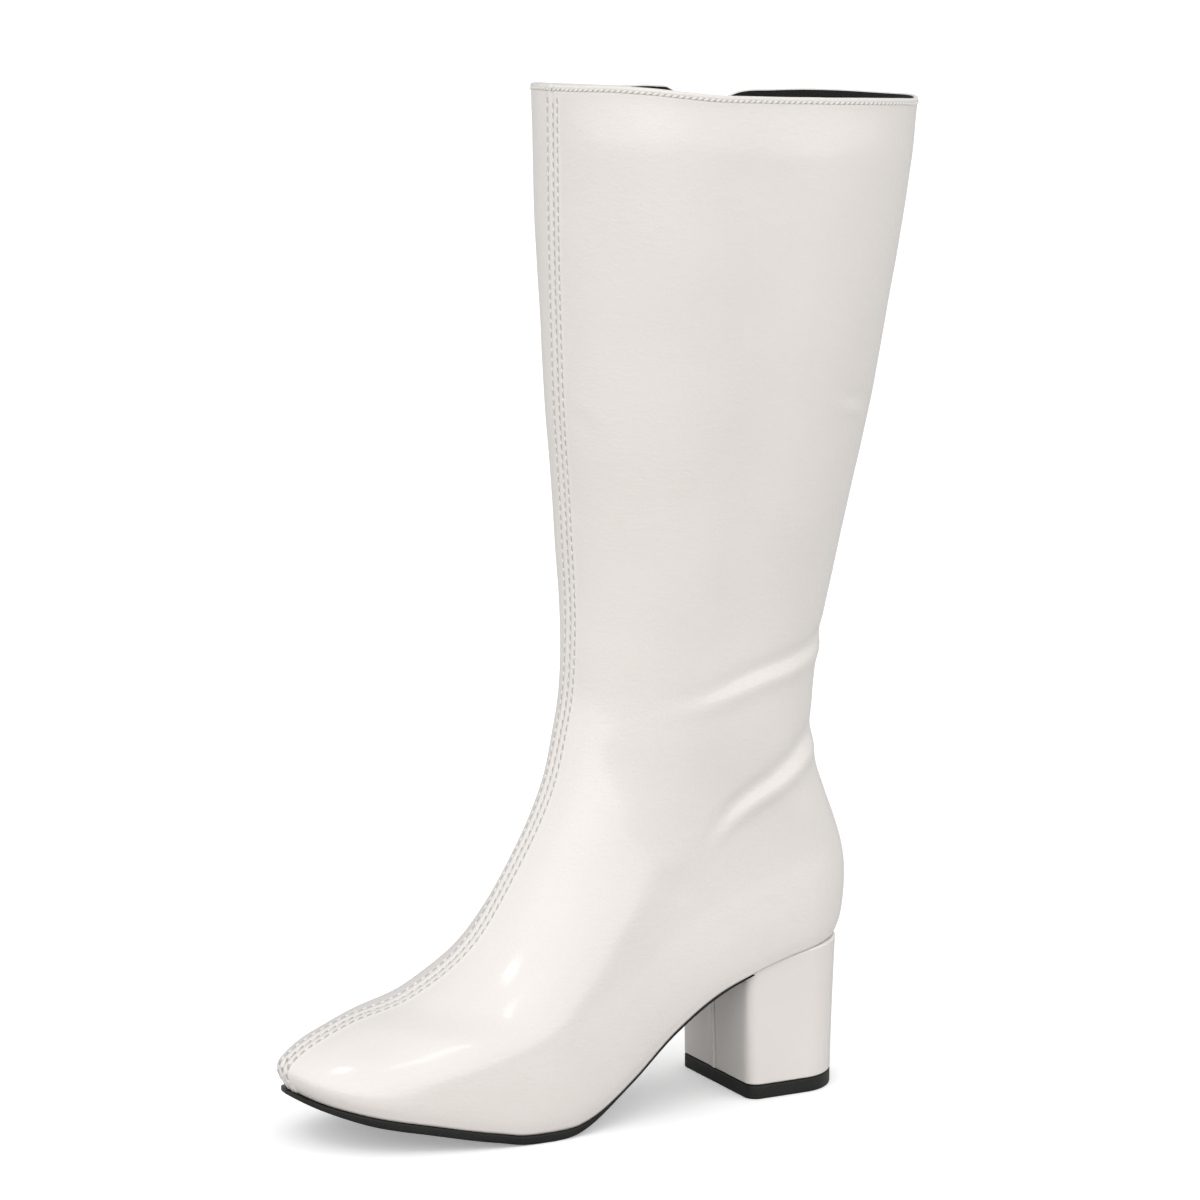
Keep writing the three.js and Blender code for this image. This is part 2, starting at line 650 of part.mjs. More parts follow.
const boot = new THREE.Group();
boot.add(
  piece('upper', upper, white),
  piece('outsole', outsole, black),
  piece('heel_block', heel, white),
  piece('heel_tip', tip, black),
  piece('insole', insole, cloth),
  piece('zip_teeth', teeth, coil),
);

const zip = new THREE.Group();
const standoff = teethUnder + ZIP_THICK + GAP;
zip.position.copy(sliderSeat).addScaledVector(wallOut, standoff);
zip.quaternion.setFromRotationMatrix(new THREE.Matrix4().makeBasis(
  new THREE.Vector3(0, -1, 0),
  new THREE.Vector3(Math.sin(lean), 0, Math.cos(lean)),
  new THREE.Vector3(-Math.cos(lean), 0, Math.sin(lean)),
));
const pull = piece('zip_tab', tabGeometry(), metal);
pull.position.z = SLIDER_THICK + barRise;
zip.add(piece('zip_slider', sliderBody, metal), pull);
boot.add(zip);

export default boot;
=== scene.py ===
import math

import bmesh
import bpy
import numpy as np
from mathutils import Matrix, Vector


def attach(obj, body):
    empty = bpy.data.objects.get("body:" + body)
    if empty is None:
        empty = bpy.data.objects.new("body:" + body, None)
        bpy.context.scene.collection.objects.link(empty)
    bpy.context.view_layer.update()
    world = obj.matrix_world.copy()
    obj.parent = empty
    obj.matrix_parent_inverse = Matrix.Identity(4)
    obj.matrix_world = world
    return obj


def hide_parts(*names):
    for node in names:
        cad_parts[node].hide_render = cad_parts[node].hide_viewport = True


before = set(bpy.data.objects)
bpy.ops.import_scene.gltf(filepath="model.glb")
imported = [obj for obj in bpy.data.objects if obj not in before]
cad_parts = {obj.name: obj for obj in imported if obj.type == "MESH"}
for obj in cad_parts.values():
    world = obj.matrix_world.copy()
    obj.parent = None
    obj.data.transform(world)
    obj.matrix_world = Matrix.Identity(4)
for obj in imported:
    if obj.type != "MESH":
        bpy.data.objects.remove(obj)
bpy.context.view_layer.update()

# Sizes of the boot in metres. The toe points to -Y, the outer side is +X, the floor is z = 0.
MM = 0.001
FOOT_LENGTH = 0.236
BALL_WIDTH = 0.075
SEAT_RISE = 0.059
INSTEP_HEIGHT = 0.153
TOE_CURVE = 0.012
ANKLE_HEIGHT = 0.143
ANKLE_DEPTH = 0.1085
ANKLE_WIDTH = 0.071
ANKLE_SETBACK = 0.0149
COLLAR_FRONT_HEIGHT = 0.3986
COLLAR_BACK_HEIGHT = 0.3906
COLLAR_DEPTH = 0.158
COLLAR_WIDTH = 0.108
WALL = 0.002
LASTING_MARGIN = 0.011
SOLE = 0.0034
SHANK = 0.0010
FLOOR_EASE = 0.0010
SOLE_EDGE = 0.001
SOLE_BEVEL = 0.0008
INSOLE = 0.002
GAP = 0.0003
HEEL_WIDTH = 0.0575
HEEL_WAIST = 0.0005
HEEL_LENGTH = 0.0485
HEEL_SETBACK = 0.0044
HEEL_ROUND = 0.021
HEEL_CORNER = 0.0048
HEEL_BACKS = (0.0056, 0.0036)
HEEL_TURN = math.radians(2.3)
BREAST_RAKE = 0.0015
TIP = 0.0055
SEAM_WIDTH = 0.010
SEAM_RAISE = 0.0005
SEAM_ROW = 0.0037
ZIP_SLOT = 0.008
ZIP_DEPTH = 0.0007
ZIP_ROW = 0.0068
COLLAR_ROW = 0.0020
HEEL_MIDDLE = HEEL_SETBACK + HEEL_LENGTH / 2
RIM = WALL / 2

FOOT_TO_SHAFT = (0.17, 0.40)
COLLAR_EDGE = (0.90, 1.00)
SHANK_TO_SOLE = (0.48, 0.62)
ANKLE_RING = 0.38
ZIP_END_RING = 0.21
ZIP_TOP_RING = 0.985
RIM_RING = 0.9978


def columns(names, rows):
    """A table as one array for each named column."""
    return {name: np.array([row[k] for row in rows]) for k, name in enumerate(names.split())}


# Side lines and roundings of the upper's rings, from the sole's edge (0) to the collar (1).
FOOT = columns("ring back_along back_lift front_along front_lift swell back_round front_round follow", [
    (0.00, 0.013, 0.000, 0.997, 0.000, 0.000, 0.114, 0.153, 1.00),
    (0.03, 0.002, 0.066, 1.010, 0.037, 0.016, 0.123, 0.157, 1.00),
    (0.07, -0.006, 0.184, 0.987, 0.100, 0.024, 0.131, 0.178, 0.95),
    (0.12, -0.008, 0.315, 0.903, 0.202, 0.016, 0.131, 0.228, 0.88),
    (0.17, -0.002, 0.434, 0.797, 0.285, 0.004, 0.131, 0.240, 0.75),
    (0.22, 0.013, 0.558, 0.695, 0.428, 0.000, 0.131, 0.245, 0.55),
    (0.27, 0.032, 0.681, 0.617, 0.617, 0.000, 0.140, 0.297, 0.30),
    (0.32, 0.053, 0.828, 0.557, 0.780, 0.000, 0.157, 0.280, 0.10),
])
SHAFT = columns("ring back_up front_up deepen lean back_round front_round", [
    (0.38, 0.000, 0.000, 0.000, 0.000, 0.39, 0.52),
    (0.48, 0.133, 0.143, -0.025, -0.034, 0.43, 0.42),
    (0.60, 0.302, 0.322, 0.202, -0.018, 0.46, 0.38),
    (0.75, 0.535, 0.550, 0.545, 0.014, 0.46, 0.37),
    (0.88, 0.777, 0.778, 0.798, 0.028, 0.45, 0.31),
    (1.00, 1.000, 1.000, 1.000, 0.032, 0.44, 0.26),
])
PLAN = columns("along wide shift", [
    (0.000, 0.367, 0.00), (0.127, 0.387, 0.00), (0.254, 0.387, 0.04), (0.381, 0.387, 0.08),
    (0.508, 0.440, 0.04), (0.636, 0.500, -0.17), (0.742, 0.500, -0.42), (0.869, 0.430, -0.71),
    (1.017, 0.373, -1.00),
])
SOLE_LINE = columns("along up", [
    (0.000, 1.042), (0.106, 1.002), (0.212, 0.900), (0.297, 0.778), (0.381, 0.570), (0.466, 0.310),
    (0.551, 0.105), (0.636, 0.045), (0.720, 0.100), (0.826, 0.185), (0.932, 0.275), (0.980, 0.333), (1.017, 0.402),
])
SHAFT_WIDTHS = columns("up widen", [
    (-0.329, -0.360), (-0.207, -0.250), (-0.090, -0.110), (0.027, 0.027), (0.184, 0.135),
    (0.380, 0.405), (0.614, 0.730), (0.790, 0.919), (1.006, 1.000),
])
COLLAR_LINE = columns("across outer inner", [
    (0.00, 0.22, 0.22), (0.05, 0.13, 0.30), (0.20, 0.21, 0.32), (0.29, 0.28, 0.20),
    (0.35, 0.32, -0.30), (0.44, 0.37, -0.30), (0.48, 0.40, 0.48), (0.52, 0.42, 0.60),
    (0.62, 0.49, 0.62), (0.75, 0.61, 0.74), (0.83, 0.77, 0.82), (0.90, 0.93, 0.90),
    (0.96, 1.02, 0.95), (1.00, 1.00, 1.00),
])
ZIP_LINE = columns("ring across", [(0.20, 0.40), (0.38, 0.43), (0.60, 0.45), (1.00, 0.46)])

# Creases: points (out, y, up) in mm along each, its half width at its two ends, the height of its
# ledge and of its ridge in mm (minus is a trough), and the shares of it over which its ends fade.
CREASES = [
    ([(0, 17, 183), (18, 12, 181), (28, 1, 178), (34, -13, 175), (37, -28, 172), (37, -41, 168),
      (36, -54, 164), (33, -66, 162), (29, -78, 160)], 5.0, 4.2, 0.95, 0.1, 0.27, 0.50),
    ([(0, 11, 143), (15, 8, 143), (26, 1, 140), (32, -11, 133), (33, -23, 126), (32, -33, 120),
      (31, -42, 112), (30, -51, 101)], 6.8, 3.4, 1.25, 0.1, 0.35, 0.4),
    ([(30, -73, 100), (31, -64, 94), (30, -55, 83)], 5.0, 4.0, 0.0, -0.5, 0.4, 0.4),
    ([(5, -96, 278), (13, -94, 276), (21, -90, 270), (27, -85, 263)], 4.5, 4.0, 0.14, 0.05, 0.3, 0.6),
    ([(20, 27, 270), (33, 21, 274), (41, 7, 277), (45, -5, 283)], 4.5, 3.0, 0.5, 0.1, 0.3, 0.5),
]


def lerp(a, b, t):
    return a + (b - a) * t


def blended(x, start, end):
    t = np.clip((x - start) / (end - start), 0, 1)
    return t * t * (3 - 2 * t)


def bump_at(distance, middle, width):
    return np.exp(-(((distance - middle) / width) ** 2))


def unit(vectors):
    return vectors / np.linalg.norm(vectors, axis=-1, keepdims=True)


def read(rows, key, column, at):
    """A smooth curve through a table's rows, held level past its ends."""
    xs, ys = rows[key], rows[column]
    gaps = np.diff(xs)
    slopes = np.diff(ys) / gaps
    inner = (slopes[:-1] * gaps[1:] + slopes[1:] * gaps[:-1]) / (gaps[:-1] + gaps[1:])
    tangents = np.concatenate([slopes[:1], inner, slopes[-1:]])
    x = np.clip(at, xs[0], xs[-1])
    i = np.clip(np.searchsorted(xs, x, side="right") - 1, 0, len(xs) - 2)
    t = (x - xs[i]) / gaps[i]
    return (
        (2 * t**3 - 3 * t**2 + 1) * ys[i]
        + (t**3 - 2 * t**2 + t) * gaps[i] * tangents[i]
        + (3 * t**2 - 2 * t**3) * ys[i + 1]
        + (t**3 - t**2) * gaps[i] * tangents[i + 1]
    )


def sole_edge_height(along):
    """The line of the sole's edge, eased where it comes down to the floor under the ball."""
    free = SEAT_RISE * read(SOLE_LINE, "along", "up", along / FOOT_LENGTH) - (SOLE + GAP)
    eased = np.maximum(0, 1 - np.abs(free) / FLOOR_EASE) ** 2 * FLOOR_EASE / 4
    return SOLE + GAP + np.maximum(0, free) + eased


def ring_table():
    foot_back = FOOT["back_along"] * FOOT_LENGTH
    foot_front = FOOT["front_along"] * FOOT_LENGTH
    depth = lerp(ANKLE_DEPTH, COLLAR_DEPTH, SHAFT["deepen"])
    shaft_front = ANKLE_SETBACK + ANKLE_DEPTH + SHAFT["lean"] * ANKLE_DEPTH
    none = np.zeros(len(depth))
    parts = {
        "ring": (FOOT["ring"], SHAFT["ring"]),
        "back_along": (foot_back, shaft_front - depth),
        "front_along": (foot_front, shaft_front),
        "back_up": (
            sole_edge_height(foot_back) + FOOT["back_lift"] * (ANKLE_HEIGHT - SEAT_RISE),
            lerp(ANKLE_HEIGHT, COLLAR_BACK_HEIGHT, SHAFT["back_up"]),
        ),
        "front_up": (
            sole_edge_height(foot_front) + FOOT["front_lift"] * INSTEP_HEIGHT,
            lerp(INSTEP_HEIGHT, COLLAR_FRONT_HEIGHT, SHAFT["front_up"]),
        ),
        "swell": (FOOT["swell"] * BALL_WIDTH, none),
        "back_round": (FOOT["back_round"] * FOOT_LENGTH, SHAFT["back_round"] * depth),
        "front_round": (FOOT["front_round"] * FOOT_LENGTH, SHAFT["front_round"] * depth),
        "follow": (FOOT["follow"], none),
    }
    return {name: np.concatenate(pair) for name, pair in parts.items()}


RINGS = ring_table()


def rounded(distance, radius):
    return np.sqrt(np.maximum(0, 1 - (1 - np.clip(distance / radius, 0, 1)) ** 2))


def zip_angle(ring):
    return -np.arccos(1 - 2 * read(ZIP_LINE, "ring", "across", ring))


def surface(ring, angle):
    """Points of the upper's outer skin. Angle 0 is the back line, pi the front, plus the outer side."""
    ring, angle = np.broadcast_arrays(np.asarray(ring, float), np.asarray(angle, float))
    row = {name: read(RINGS, "ring", name, ring) for name in RINGS if name != "ring"}
    across = (1 - np.cos(angle)) / 2
    side = np.where(np.sin(angle) < 0, -1.0, 1.0)
    depth = row["front_along"] - row["back_along"]
    along = row["back_along"] + depth * across
    straight = lerp(row["back_up"], row["front_up"], across)
    back_lift = row["back_up"] - sole_edge_height(row["back_along"])
    front_lift = row["front_up"] - sole_edge_height(row["front_along"])
    curved = sole_edge_height(along) + lerp(back_lift, front_lift, across)
    up = lerp(straight, curved, row["follow"])
    outer = read(COLLAR_LINE, "across", "outer", across)
    inner = read(COLLAR_LINE, "across", "inner", across)
    edge = lerp(row["back_up"], row["front_up"], np.where(side > 0, outer, inner))
    up = up + blended(ring, *COLLAR_EDGE) * (edge - straight)
    shaft_share = blended(ring, *FOOT_TO_SHAFT)
    share = (up - ANKLE_HEIGHT) / (COLLAR_FRONT_HEIGHT - ANKLE_HEIGHT)
    shaft_half = lerp(ANKLE_WIDTH, COLLAR_WIDTH, read(SHAFT_WIDTHS, "up", "widen", share)) / 2
    foot_half = BALL_WIDTH * read(PLAN, "along", "wide", along / FOOT_LENGTH) + row["swell"]
    half = lerp(foot_half, shaft_half, shaft_share)
    wide = half * rounded(depth * across, row["back_round"])
    wide = wide * rounded(depth * (1 - across), row["front_round"])
    shift = TOE_CURVE * read(PLAN, "along", "shift", along / FOOT_LENGTH)
    return np.stack([shift * (1 - shaft_share) + side * wide, HEEL_MIDDLE - along, up], -1)


def climb(ring, angle):
    """The unit direction up the skin, and the unit direction off it."""
    step = 0.002
    above, below = np.minimum(1, ring + step), np.maximum(0, ring - step)
    rise = surface(above, angle) - surface(below, angle)
    turn = surface(ring, angle + step) - surface(ring, angle - step)
    return unit(rise), unit(np.cross(rise, turn))


def reach(ring, angle, probe=0.02):
    """Metres on the skin for one radian of turn."""
    return np.linalg.norm(surface(ring, angle - probe) - surface(ring, angle), axis=-1) / probe


def underfoot(angle, inset, lift):
    """A point of the sole's plan, moved in from its edge and set at a height off that edge."""
    edge = surface(np.zeros_like(angle), angle)
    out = climb(np.zeros_like(angle), angle)[1]
    out[..., 2] = 0
    point = edge - unit(out) * inset
    point[..., 2] = sole_edge_height(HEEL_MIDDLE - point[..., 1]) + lift
    return point


def crease_lift(points, off):
    """Height of all the creases at points of the skin, in metres."""
    lift = np.zeros(points.shape[:-1])
    for line, wide_start, wide_end, ledge, ridge, fade_in, fade_out in CREASES:
        marks = np.array(line, float) * MM
        run = np.concatenate([[0], np.cumsum(np.linalg.norm(np.diff(marks, axis=0), axis=1))])
        rows = {"run": run, "x": marks[:, 0], "y": marks[:, 1], "z": marks[:, 2]}
        at = np.linspace(0, run[-1], 60)
        path = np.stack([read(rows, "run", axis, at) for axis in "xyz"], -1)
        heading = unit(np.gradient(path, axis=0))
        nearest = np.zeros(points.shape[:-1], int)
        least = np.full(points.shape[:-1], np.inf)
        for k, mark in enumerate(path):
            distance = ((points - mark) ** 2).sum(-1)
            nearest = np.where(distance < least, k, nearest)
            least = np.minimum(distance, least)
        away = points - path[nearest]
        ahead = heading[nearest]
        past = (away * ahead).sum(-1)
        share = np.clip((at[nearest] + past) / run[-1], -1, 2)
        across = unit(np.cross(ahead, off))
        offset = (away * across).sum(-1)
        ends = blended(share, 0, fade_in) * (1 - blended(share, 1 - fade_out, 1))
        width = lerp(wide_start, wide_end, np.clip(share, 0, 1)) * MM
        near = 1 - blended(np.sqrt(least), 4 * width, 6 * width)
        lean = -2.33 * offset / width
        lift += MM * (ledge * lean + ridge) * bump_at(offset, 0, width) * ends * near
    return lift


def panel_waves(points):
    """The slight unevenness of leather that has been pulled over a last and a shaft."""
    x, y, z = points[..., 0], points[..., 1], points[..., 2]
    waves = 0.16 * np.sin(52 * z + 31 * y + 0.7) * np.cos(38 * y - 24 * x + 1.1)
    waves += 0.10 * np.sin(95 * z - 60 * y + 2.0 + 40 * x)
    waves += 0.05 * np.sin(170 * z + 120 * y + 0.4) * np.sin(90 * x - 70 * z)
    return waves * MM


def front_distance(ring, angle):
    return (math.pi - np.abs(angle)) * reach(ring, np.full_like(angle, math.pi))


def zip_distance(ring, angle):
    middle = zip_angle(ring)
    return (angle - middle) * reach(ring, middle)


def relief(ring, angle):
    """Height of the outer skin's seam, zip, creases and unevenness off the plain surface."""
    points = surface(ring, angle)
    off = climb(ring, angle)[1]
    front = front_distance(ring, angle)
    beside_zip = np.abs(zip_distance(ring, angle))
    lift = SEAM_RAISE * blended(front, 0.5 * MM, 1.3 * MM) * (1 - blended(front, 4.1 * MM, 5.2 * MM))
    lift -= 0.12 * MM * bump_at(front, 0, 0.5 * MM)
    lift -= 0.22 * MM * bump_at(front, SEAM_ROW, 0.6 * MM)
    opened = blended(ring, ZIP_END_RING - 0.004, ZIP_END_RING + 0.004)
    lift -= ZIP_DEPTH * opened * (1 - blended(beside_zip, 3.5 * MM, 4.0 * MM))
    lift += 0.30 * MM * opened * bump_at(beside_zip, 4.9 * MM, 0.8 * MM)
    lift -= 0.14 * MM * opened * bump_at(beside_zip, ZIP_ROW, 0.5 * MM)
    lift -= 1.3 * MM * blended(ring, 0.945, 1.0) * blended(np.sin(angle), 0.05, 0.5)
    below_rim = (1 - ring) * 0.45
    lift += 0.16 * MM * bump_at(below_rim, 1.2 * MM, 1.0 * MM)
    lift -= 0.16 * MM * bump_at(below_rim, COLLAR_ROW, 0.5 * MM)
    calm = blended(front, 3 * MM, 9 * MM) * blended(beside_zip, 5 * MM, 11 * MM)
    calm = calm * blended(ring, 0, 0.05) * (1 - blended(ring, 0.94, 0.99))
    folds = crease_lift(points, off)
    return lift + (panel_waves(points) + folds * blended(front, 2 * MM, 7 * MM)) * lerp(0.25, 1, calm)


def upper_columns(ring):
    """Angles of each ring's columns: front seam, outer side, back line, zip side, front seam."""
    seam = np.array([0, 0.3, 0.6, 0.9, 1.3, 1.9, 2.5, 3.0, 3.4, 3.7, 4.0, 4.4, 4.8, 5.3, 6.0, 7.0]) * MM
    slot = np.array([0, 0.9, 1.8, 2.8, 3.4, 3.7, 4.0, 4.4, 4.9, 5.4, 6.0, 6.4, 6.8, 7.2, 8.0]) * MM
    front_reach = reach(ring, np.full_like(ring, math.pi))
    beside = math.pi - seam[None, :] / front_reach[:, None]
    middle = zip_angle(ring)
    zip_reach = reach(ring, middle)
    to_zip = np.concatenate([slot[::-1], -slot[1:]])
    zipped = middle[:, None] + to_zip[None, :] / zip_reach[:, None]

    def spread(start, end, count):
        share = np.arange(1, count) / count
        return start[:, None] + (end - start)[:, None] * share[None, :]

    none = np.zeros_like(ring)
    return np.concatenate([
        beside,
        spread(beside[:, -1], none, 126),
        none[:, None],
        spread(none, zipped[:, 0], 54),
        zipped,
        spread(zipped[:, -1], -beside[:, -1], 58),
        -beside[:, ::-1],
    ], axis=1)


def mapped_grid(name, points):
    """A bmesh grid whose corners are set to rows and columns of points."""
    rows, across = points.shape[:2]
    grid = bmesh.new()
    bmesh.ops.create_grid(grid, x_segments=across - 1, y_segments=rows - 1, size=1)
    mesh = bpy.data.meshes.new(name)
    grid.to_mesh(mesh)
    grid.free()
    flat = np.zeros(len(mesh.vertices) * 3, np.float32)
    mesh.vertices.foreach_get("co", flat)
    flat = flat.reshape(-1, 3)
    i = np.rint((flat[:, 0] + 1) / 2 * (across - 1)).astype(int)
    j = np.rint((flat[:, 1] + 1) / 2 * (rows - 1)).astype(int)
    mesh.vertices.foreach_set("co", points[j, i].astype(np.float32).ravel())
    corners = np.zeros(len(mesh.loops), np.int32)
    mesh.loops.foreach_get("vertex_index", corners)
    face_row = j[corners].reshape(-1, 4).min(1)
    return mesh, face_row


def close_up(mesh, merge=2e-6, caps=False):
    """Merges a mesh's meeting edges, closes open ends if asked and turns its faces outwards."""
    shell = bmesh.new()
    shell.from_mesh(mesh)
    bmesh.ops.remove_doubles(shell, verts=shell.verts, dist=merge)
    if caps:
        bmesh.ops.holes_fill(shell, edges=[e for e in shell.edges if e.is_boundary], sides=0)
    bmesh.ops.recalc_face_normals(shell, faces=shell.faces)
    for face in shell.faces:
        face.smooth = True
    shell.to_mesh(mesh)
    shell.free()
    mesh.update()


def add_piece(name, mesh, body, materials, replaced=()):
    piece = bpy.data.objects.new(name, mesh)
    bpy.context.scene.collection.objects.link(piece)
    for material in materials:
        mesh.materials.append(material)
    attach(piece, body)
    if replaced:
        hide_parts(*replaced)
    return piece


# Shader effects that several finishes share.


def new_group(name, inputs, outputs):
    group = bpy.data.node_groups.new(name, "ShaderNodeTree")
    for label, kind, value in inputs:
        socket = group.interface.new_socket(name=label, in_out="INPUT", socket_type="NodeSocket" + kind)
        socket.default_value = value
    for label, kind in outputs:
        group.interface.new_socket(name=label, in_out="OUTPUT", socket_type="NodeSocket" + kind)
    nodes = group.nodes
    return group, nodes.new("NodeGroupInput"), nodes.new("NodeGroupOutput")


def node(tree, kind, **settings):
    made = tree.nodes.new("ShaderNode" + kind)
    for name, value in settings.items():
        setattr(made, name, value)
    return made


def math_node(tree, operation, a, b=None):
    made = node(tree, "Math", operation=operation)
    for k, value in enumerate((a, b)):
        if value is None:
            continue
        if isinstance(value, (int, float)):
            made.inputs[k].default_value = value
        else:
            tree.links.new(value, made.inputs[k])
    return made.outputs[0]


def leather_group():
    """Fine grain, level creping, the finish's slight orange peel, and soft cloudy changes of tone."""
    group, given, result = new_group(
        "leather_grain",
        [("Tone", "Color", (0.8, 0.78, 0.75, 1)), ("Shade", "Color", (0.7, 0.68, 0.66, 1)),
         ("Grain Size", "Float", 900.0), ("Grain Depth", "Float", 0.4), ("Peel Size", "Float", 160.0),
         ("Crepe Depth", "Float", 0.5), ("Cloud Size", "Float", 14.0), ("Gloss", "Float", 0.2)],
        [("Color", "Color"), ("Height", "Float"), ("Roughness", "Float")],
    )
    link = group.links.new
    place = node(group, "TexCoord")
    pores = node(group, "TexVoronoi", feature="F1")
    link(place.outputs["Object"], pores.inputs["Vector"])
    link(given.outputs["Grain Size"], pores.inputs["Scale"])
    peel = node(group, "TexNoise")
    peel.inputs["Detail"].default_value = 2.0
    link(place.outputs["Object"], peel.inputs["Vector"])
    link(given.outputs["Peel Size"], peel.inputs["Scale"])
    cloud = node(group, "TexNoise")
    cloud.inputs["Detail"].default_value = 3.0
    link(place.outputs["Object"], cloud.inputs["Vector"])
    link(given.outputs["Cloud Size"], cloud.inputs["Scale"])
    lengthen = node(group, "Mapping")
    lengthen.inputs["Scale"].default_value = (0.30, 0.30, 1.0)
    link(place.outputs["Object"], lengthen.inputs["Vector"])
    crepe = node(group, "TexNoise")
    crepe.inputs["Scale"].default_value = 620.0
    crepe.inputs["Detail"].default_value = 2.0
    crepe.inputs["Distortion"].default_value = 0.6
    link(lengthen.outputs["Vector"], crepe.inputs["Vector"])
    creped = math_node(group, "MULTIPLY", crepe.outputs["Fac"], given.outputs["Crepe Depth"])
    creped = math_node(group, "MULTIPLY", creped, cloud.outputs["Fac"])
    grain = math_node(group, "MULTIPLY", pores.outputs["Distance"], given.outputs["Grain Depth"])
    grain = math_node(group, "ADD", grain, creped)
    link(math_node(group, "ADD", grain, peel.outputs["Fac"]), result.inputs["Height"])
    ramp = node(group, "MapRange")
    ramp.inputs["From Min"].default_value = 0.35
    ramp.inputs["From Max"].default_value = 0.65
    link(cloud.outputs["Fac"], ramp.inputs["Value"])
    mix = node(group, "Mix", data_type="RGBA")
    link(ramp.outputs["Result"], mix.inputs["Factor"])
    link(given.outputs["Tone"], mix.inputs["A"])
    link(given.outputs["Shade"], mix.inputs["B"])
    link(mix.outputs["Result"], result.inputs["Color"])
    uneven = math_node(group, "MULTIPLY", cloud.outputs["Fac"], 0.12)
    link(math_node(group, "ADD", uneven, given.outputs["Gloss"]), result.inputs["Roughness"])
    return group


def weave_group():
    """A plain weave with a little fuzz, for linings, tapes and thread."""
    group, given, result = new_group(
        "cloth_weave",
        [("Tone", "Color", (0.02, 0.02, 0.02, 1)), ("Shade", "Color", (0.01, 0.01, 0.01, 1)),
         ("Threads", "Float", 600.0), ("Fuzz", "Float", 0.3)],
        [("Color", "Color"), ("Height", "Float"), ("Roughness", "Float")],
    )
    link = group.links.new
    place = node(group, "TexCoord")
    waves = []
    for direction in ("DIAGONAL", "Z"):
        wave = node(group, "TexWave", bands_direction=direction)
        link(place.outputs["Object"], wave.inputs["Vector"])
        link(given.outputs["Threads"], wave.inputs["Scale"])
        waves.append(wave.outputs["Fac"])
    fuzz = node(group, "TexNoise")
    fuzz.inputs["Scale"].default_value = 2500.0
    link(place.outputs["Object"], fuzz.inputs["Vector"])
    woven = math_node(group, "MULTIPLY", *waves)
    fluff = math_node(group, "MULTIPLY", fuzz.outputs["Fac"], given.outputs["Fuzz"])
    height = math_node(group, "ADD", woven, fluff)
    link(height, result.inputs["Height"])
    mix = node(group, "Mix", data_type="RGBA")
    link(height, mix.inputs["Factor"])
    link(given.outputs["Shade"], mix.inputs["A"])
    link(given.outputs["Tone"], mix.inputs["B"])
    link(mix.outputs["Result"], result.inputs["Color"])
    link(math_node(group, "MULTIPLY", fuzz.outputs["Fac"], 1.4), result.inputs["Roughness"])
    return group


def worn_group():
    """Fine rubbing and speckle, for rubber, plastic and plated metal."""
    group, given, result = new_group(
        "rubbed_surface",
        [("Tone", "Color", (0.02, 0.02, 0.02, 1)), ("Rubbed", "Color", (0.05, 0.05, 0.05, 1)),
         ("Size", "Float", 500.0), ("Gloss", "Float", 0.4), ("Spread", "Float", 0.3)],
        [("Color", "Color"), ("Height", "Float"), ("Roughness", "Float")],
    )
    link = group.links.new
    place = node(group, "TexCoord")
    speckle = node(group, "TexNoise")
    speckle.inputs["Detail"].default_value = 5.0
    link(place.outputs["Object"], speckle.inputs["Vector"])
    link(given.outputs["Size"], speckle.inputs["Scale"])
    patches = node(group, "TexNoise")
    patches.inputs["Scale"].default_value = 45.0
    link(place.outputs["Object"], patches.inputs["Vector"])
    link(speckle.outputs["Fac"], result.inputs["Height"])
    mix = node(group, "Mix", data_type="RGBA")
    link(math_node(group, "MULTIPLY", patches.outputs["Fac"], speckle.outputs["Fac"]), mix.inputs["Factor"])
    link(given.outputs["Tone"], mix.inputs["A"])
    link(given.outputs["Rubbed"], mix.inputs["B"])
    link(mix.outputs["Result"], result.inputs["Color"])
    spread = math_node(group, "MULTIPLY", patches.outputs["Fac"], given.outputs["Spread"])
    link(math_node(group, "ADD", spread, given.outputs["Gloss"]), result.inputs["Roughness"])
    return group


def finish_of(name, group, values, bump, bump_distance, **shader_values):
    """A material: one shared effect with its own values, its bump and its own shader."""
    material = bpy.data.materials.new(name)
    material.use_nodes = True
    tree = material.node_tree
    shader = tree.nodes["Principled BSDF"]
    effect = node(tree, "Group", node_tree=group)
    for label, value in values.items():
        effect.inputs[label].default_value = value
    relief_node = node(tree, "Bump")
    relief_node.inputs["Strength"].default_value = bump
    relief_node.inputs["Distance"].default_value = bump_distance
    tree.links.new(effect.outputs["Color"], shader.inputs["Base Color"])
    tree.links.new(effect.outputs["Roughness"], shader.inputs["Roughness"])
    tree.links.new(effect.outputs["Height"], relief_node.inputs["Height"])
    tree.links.new(relief_node.outputs["Normal"], shader.inputs["Normal"])
    for label, value in shader_values.items():
        shader.inputs[label.replace("_", " ")].default_value = value
    return material


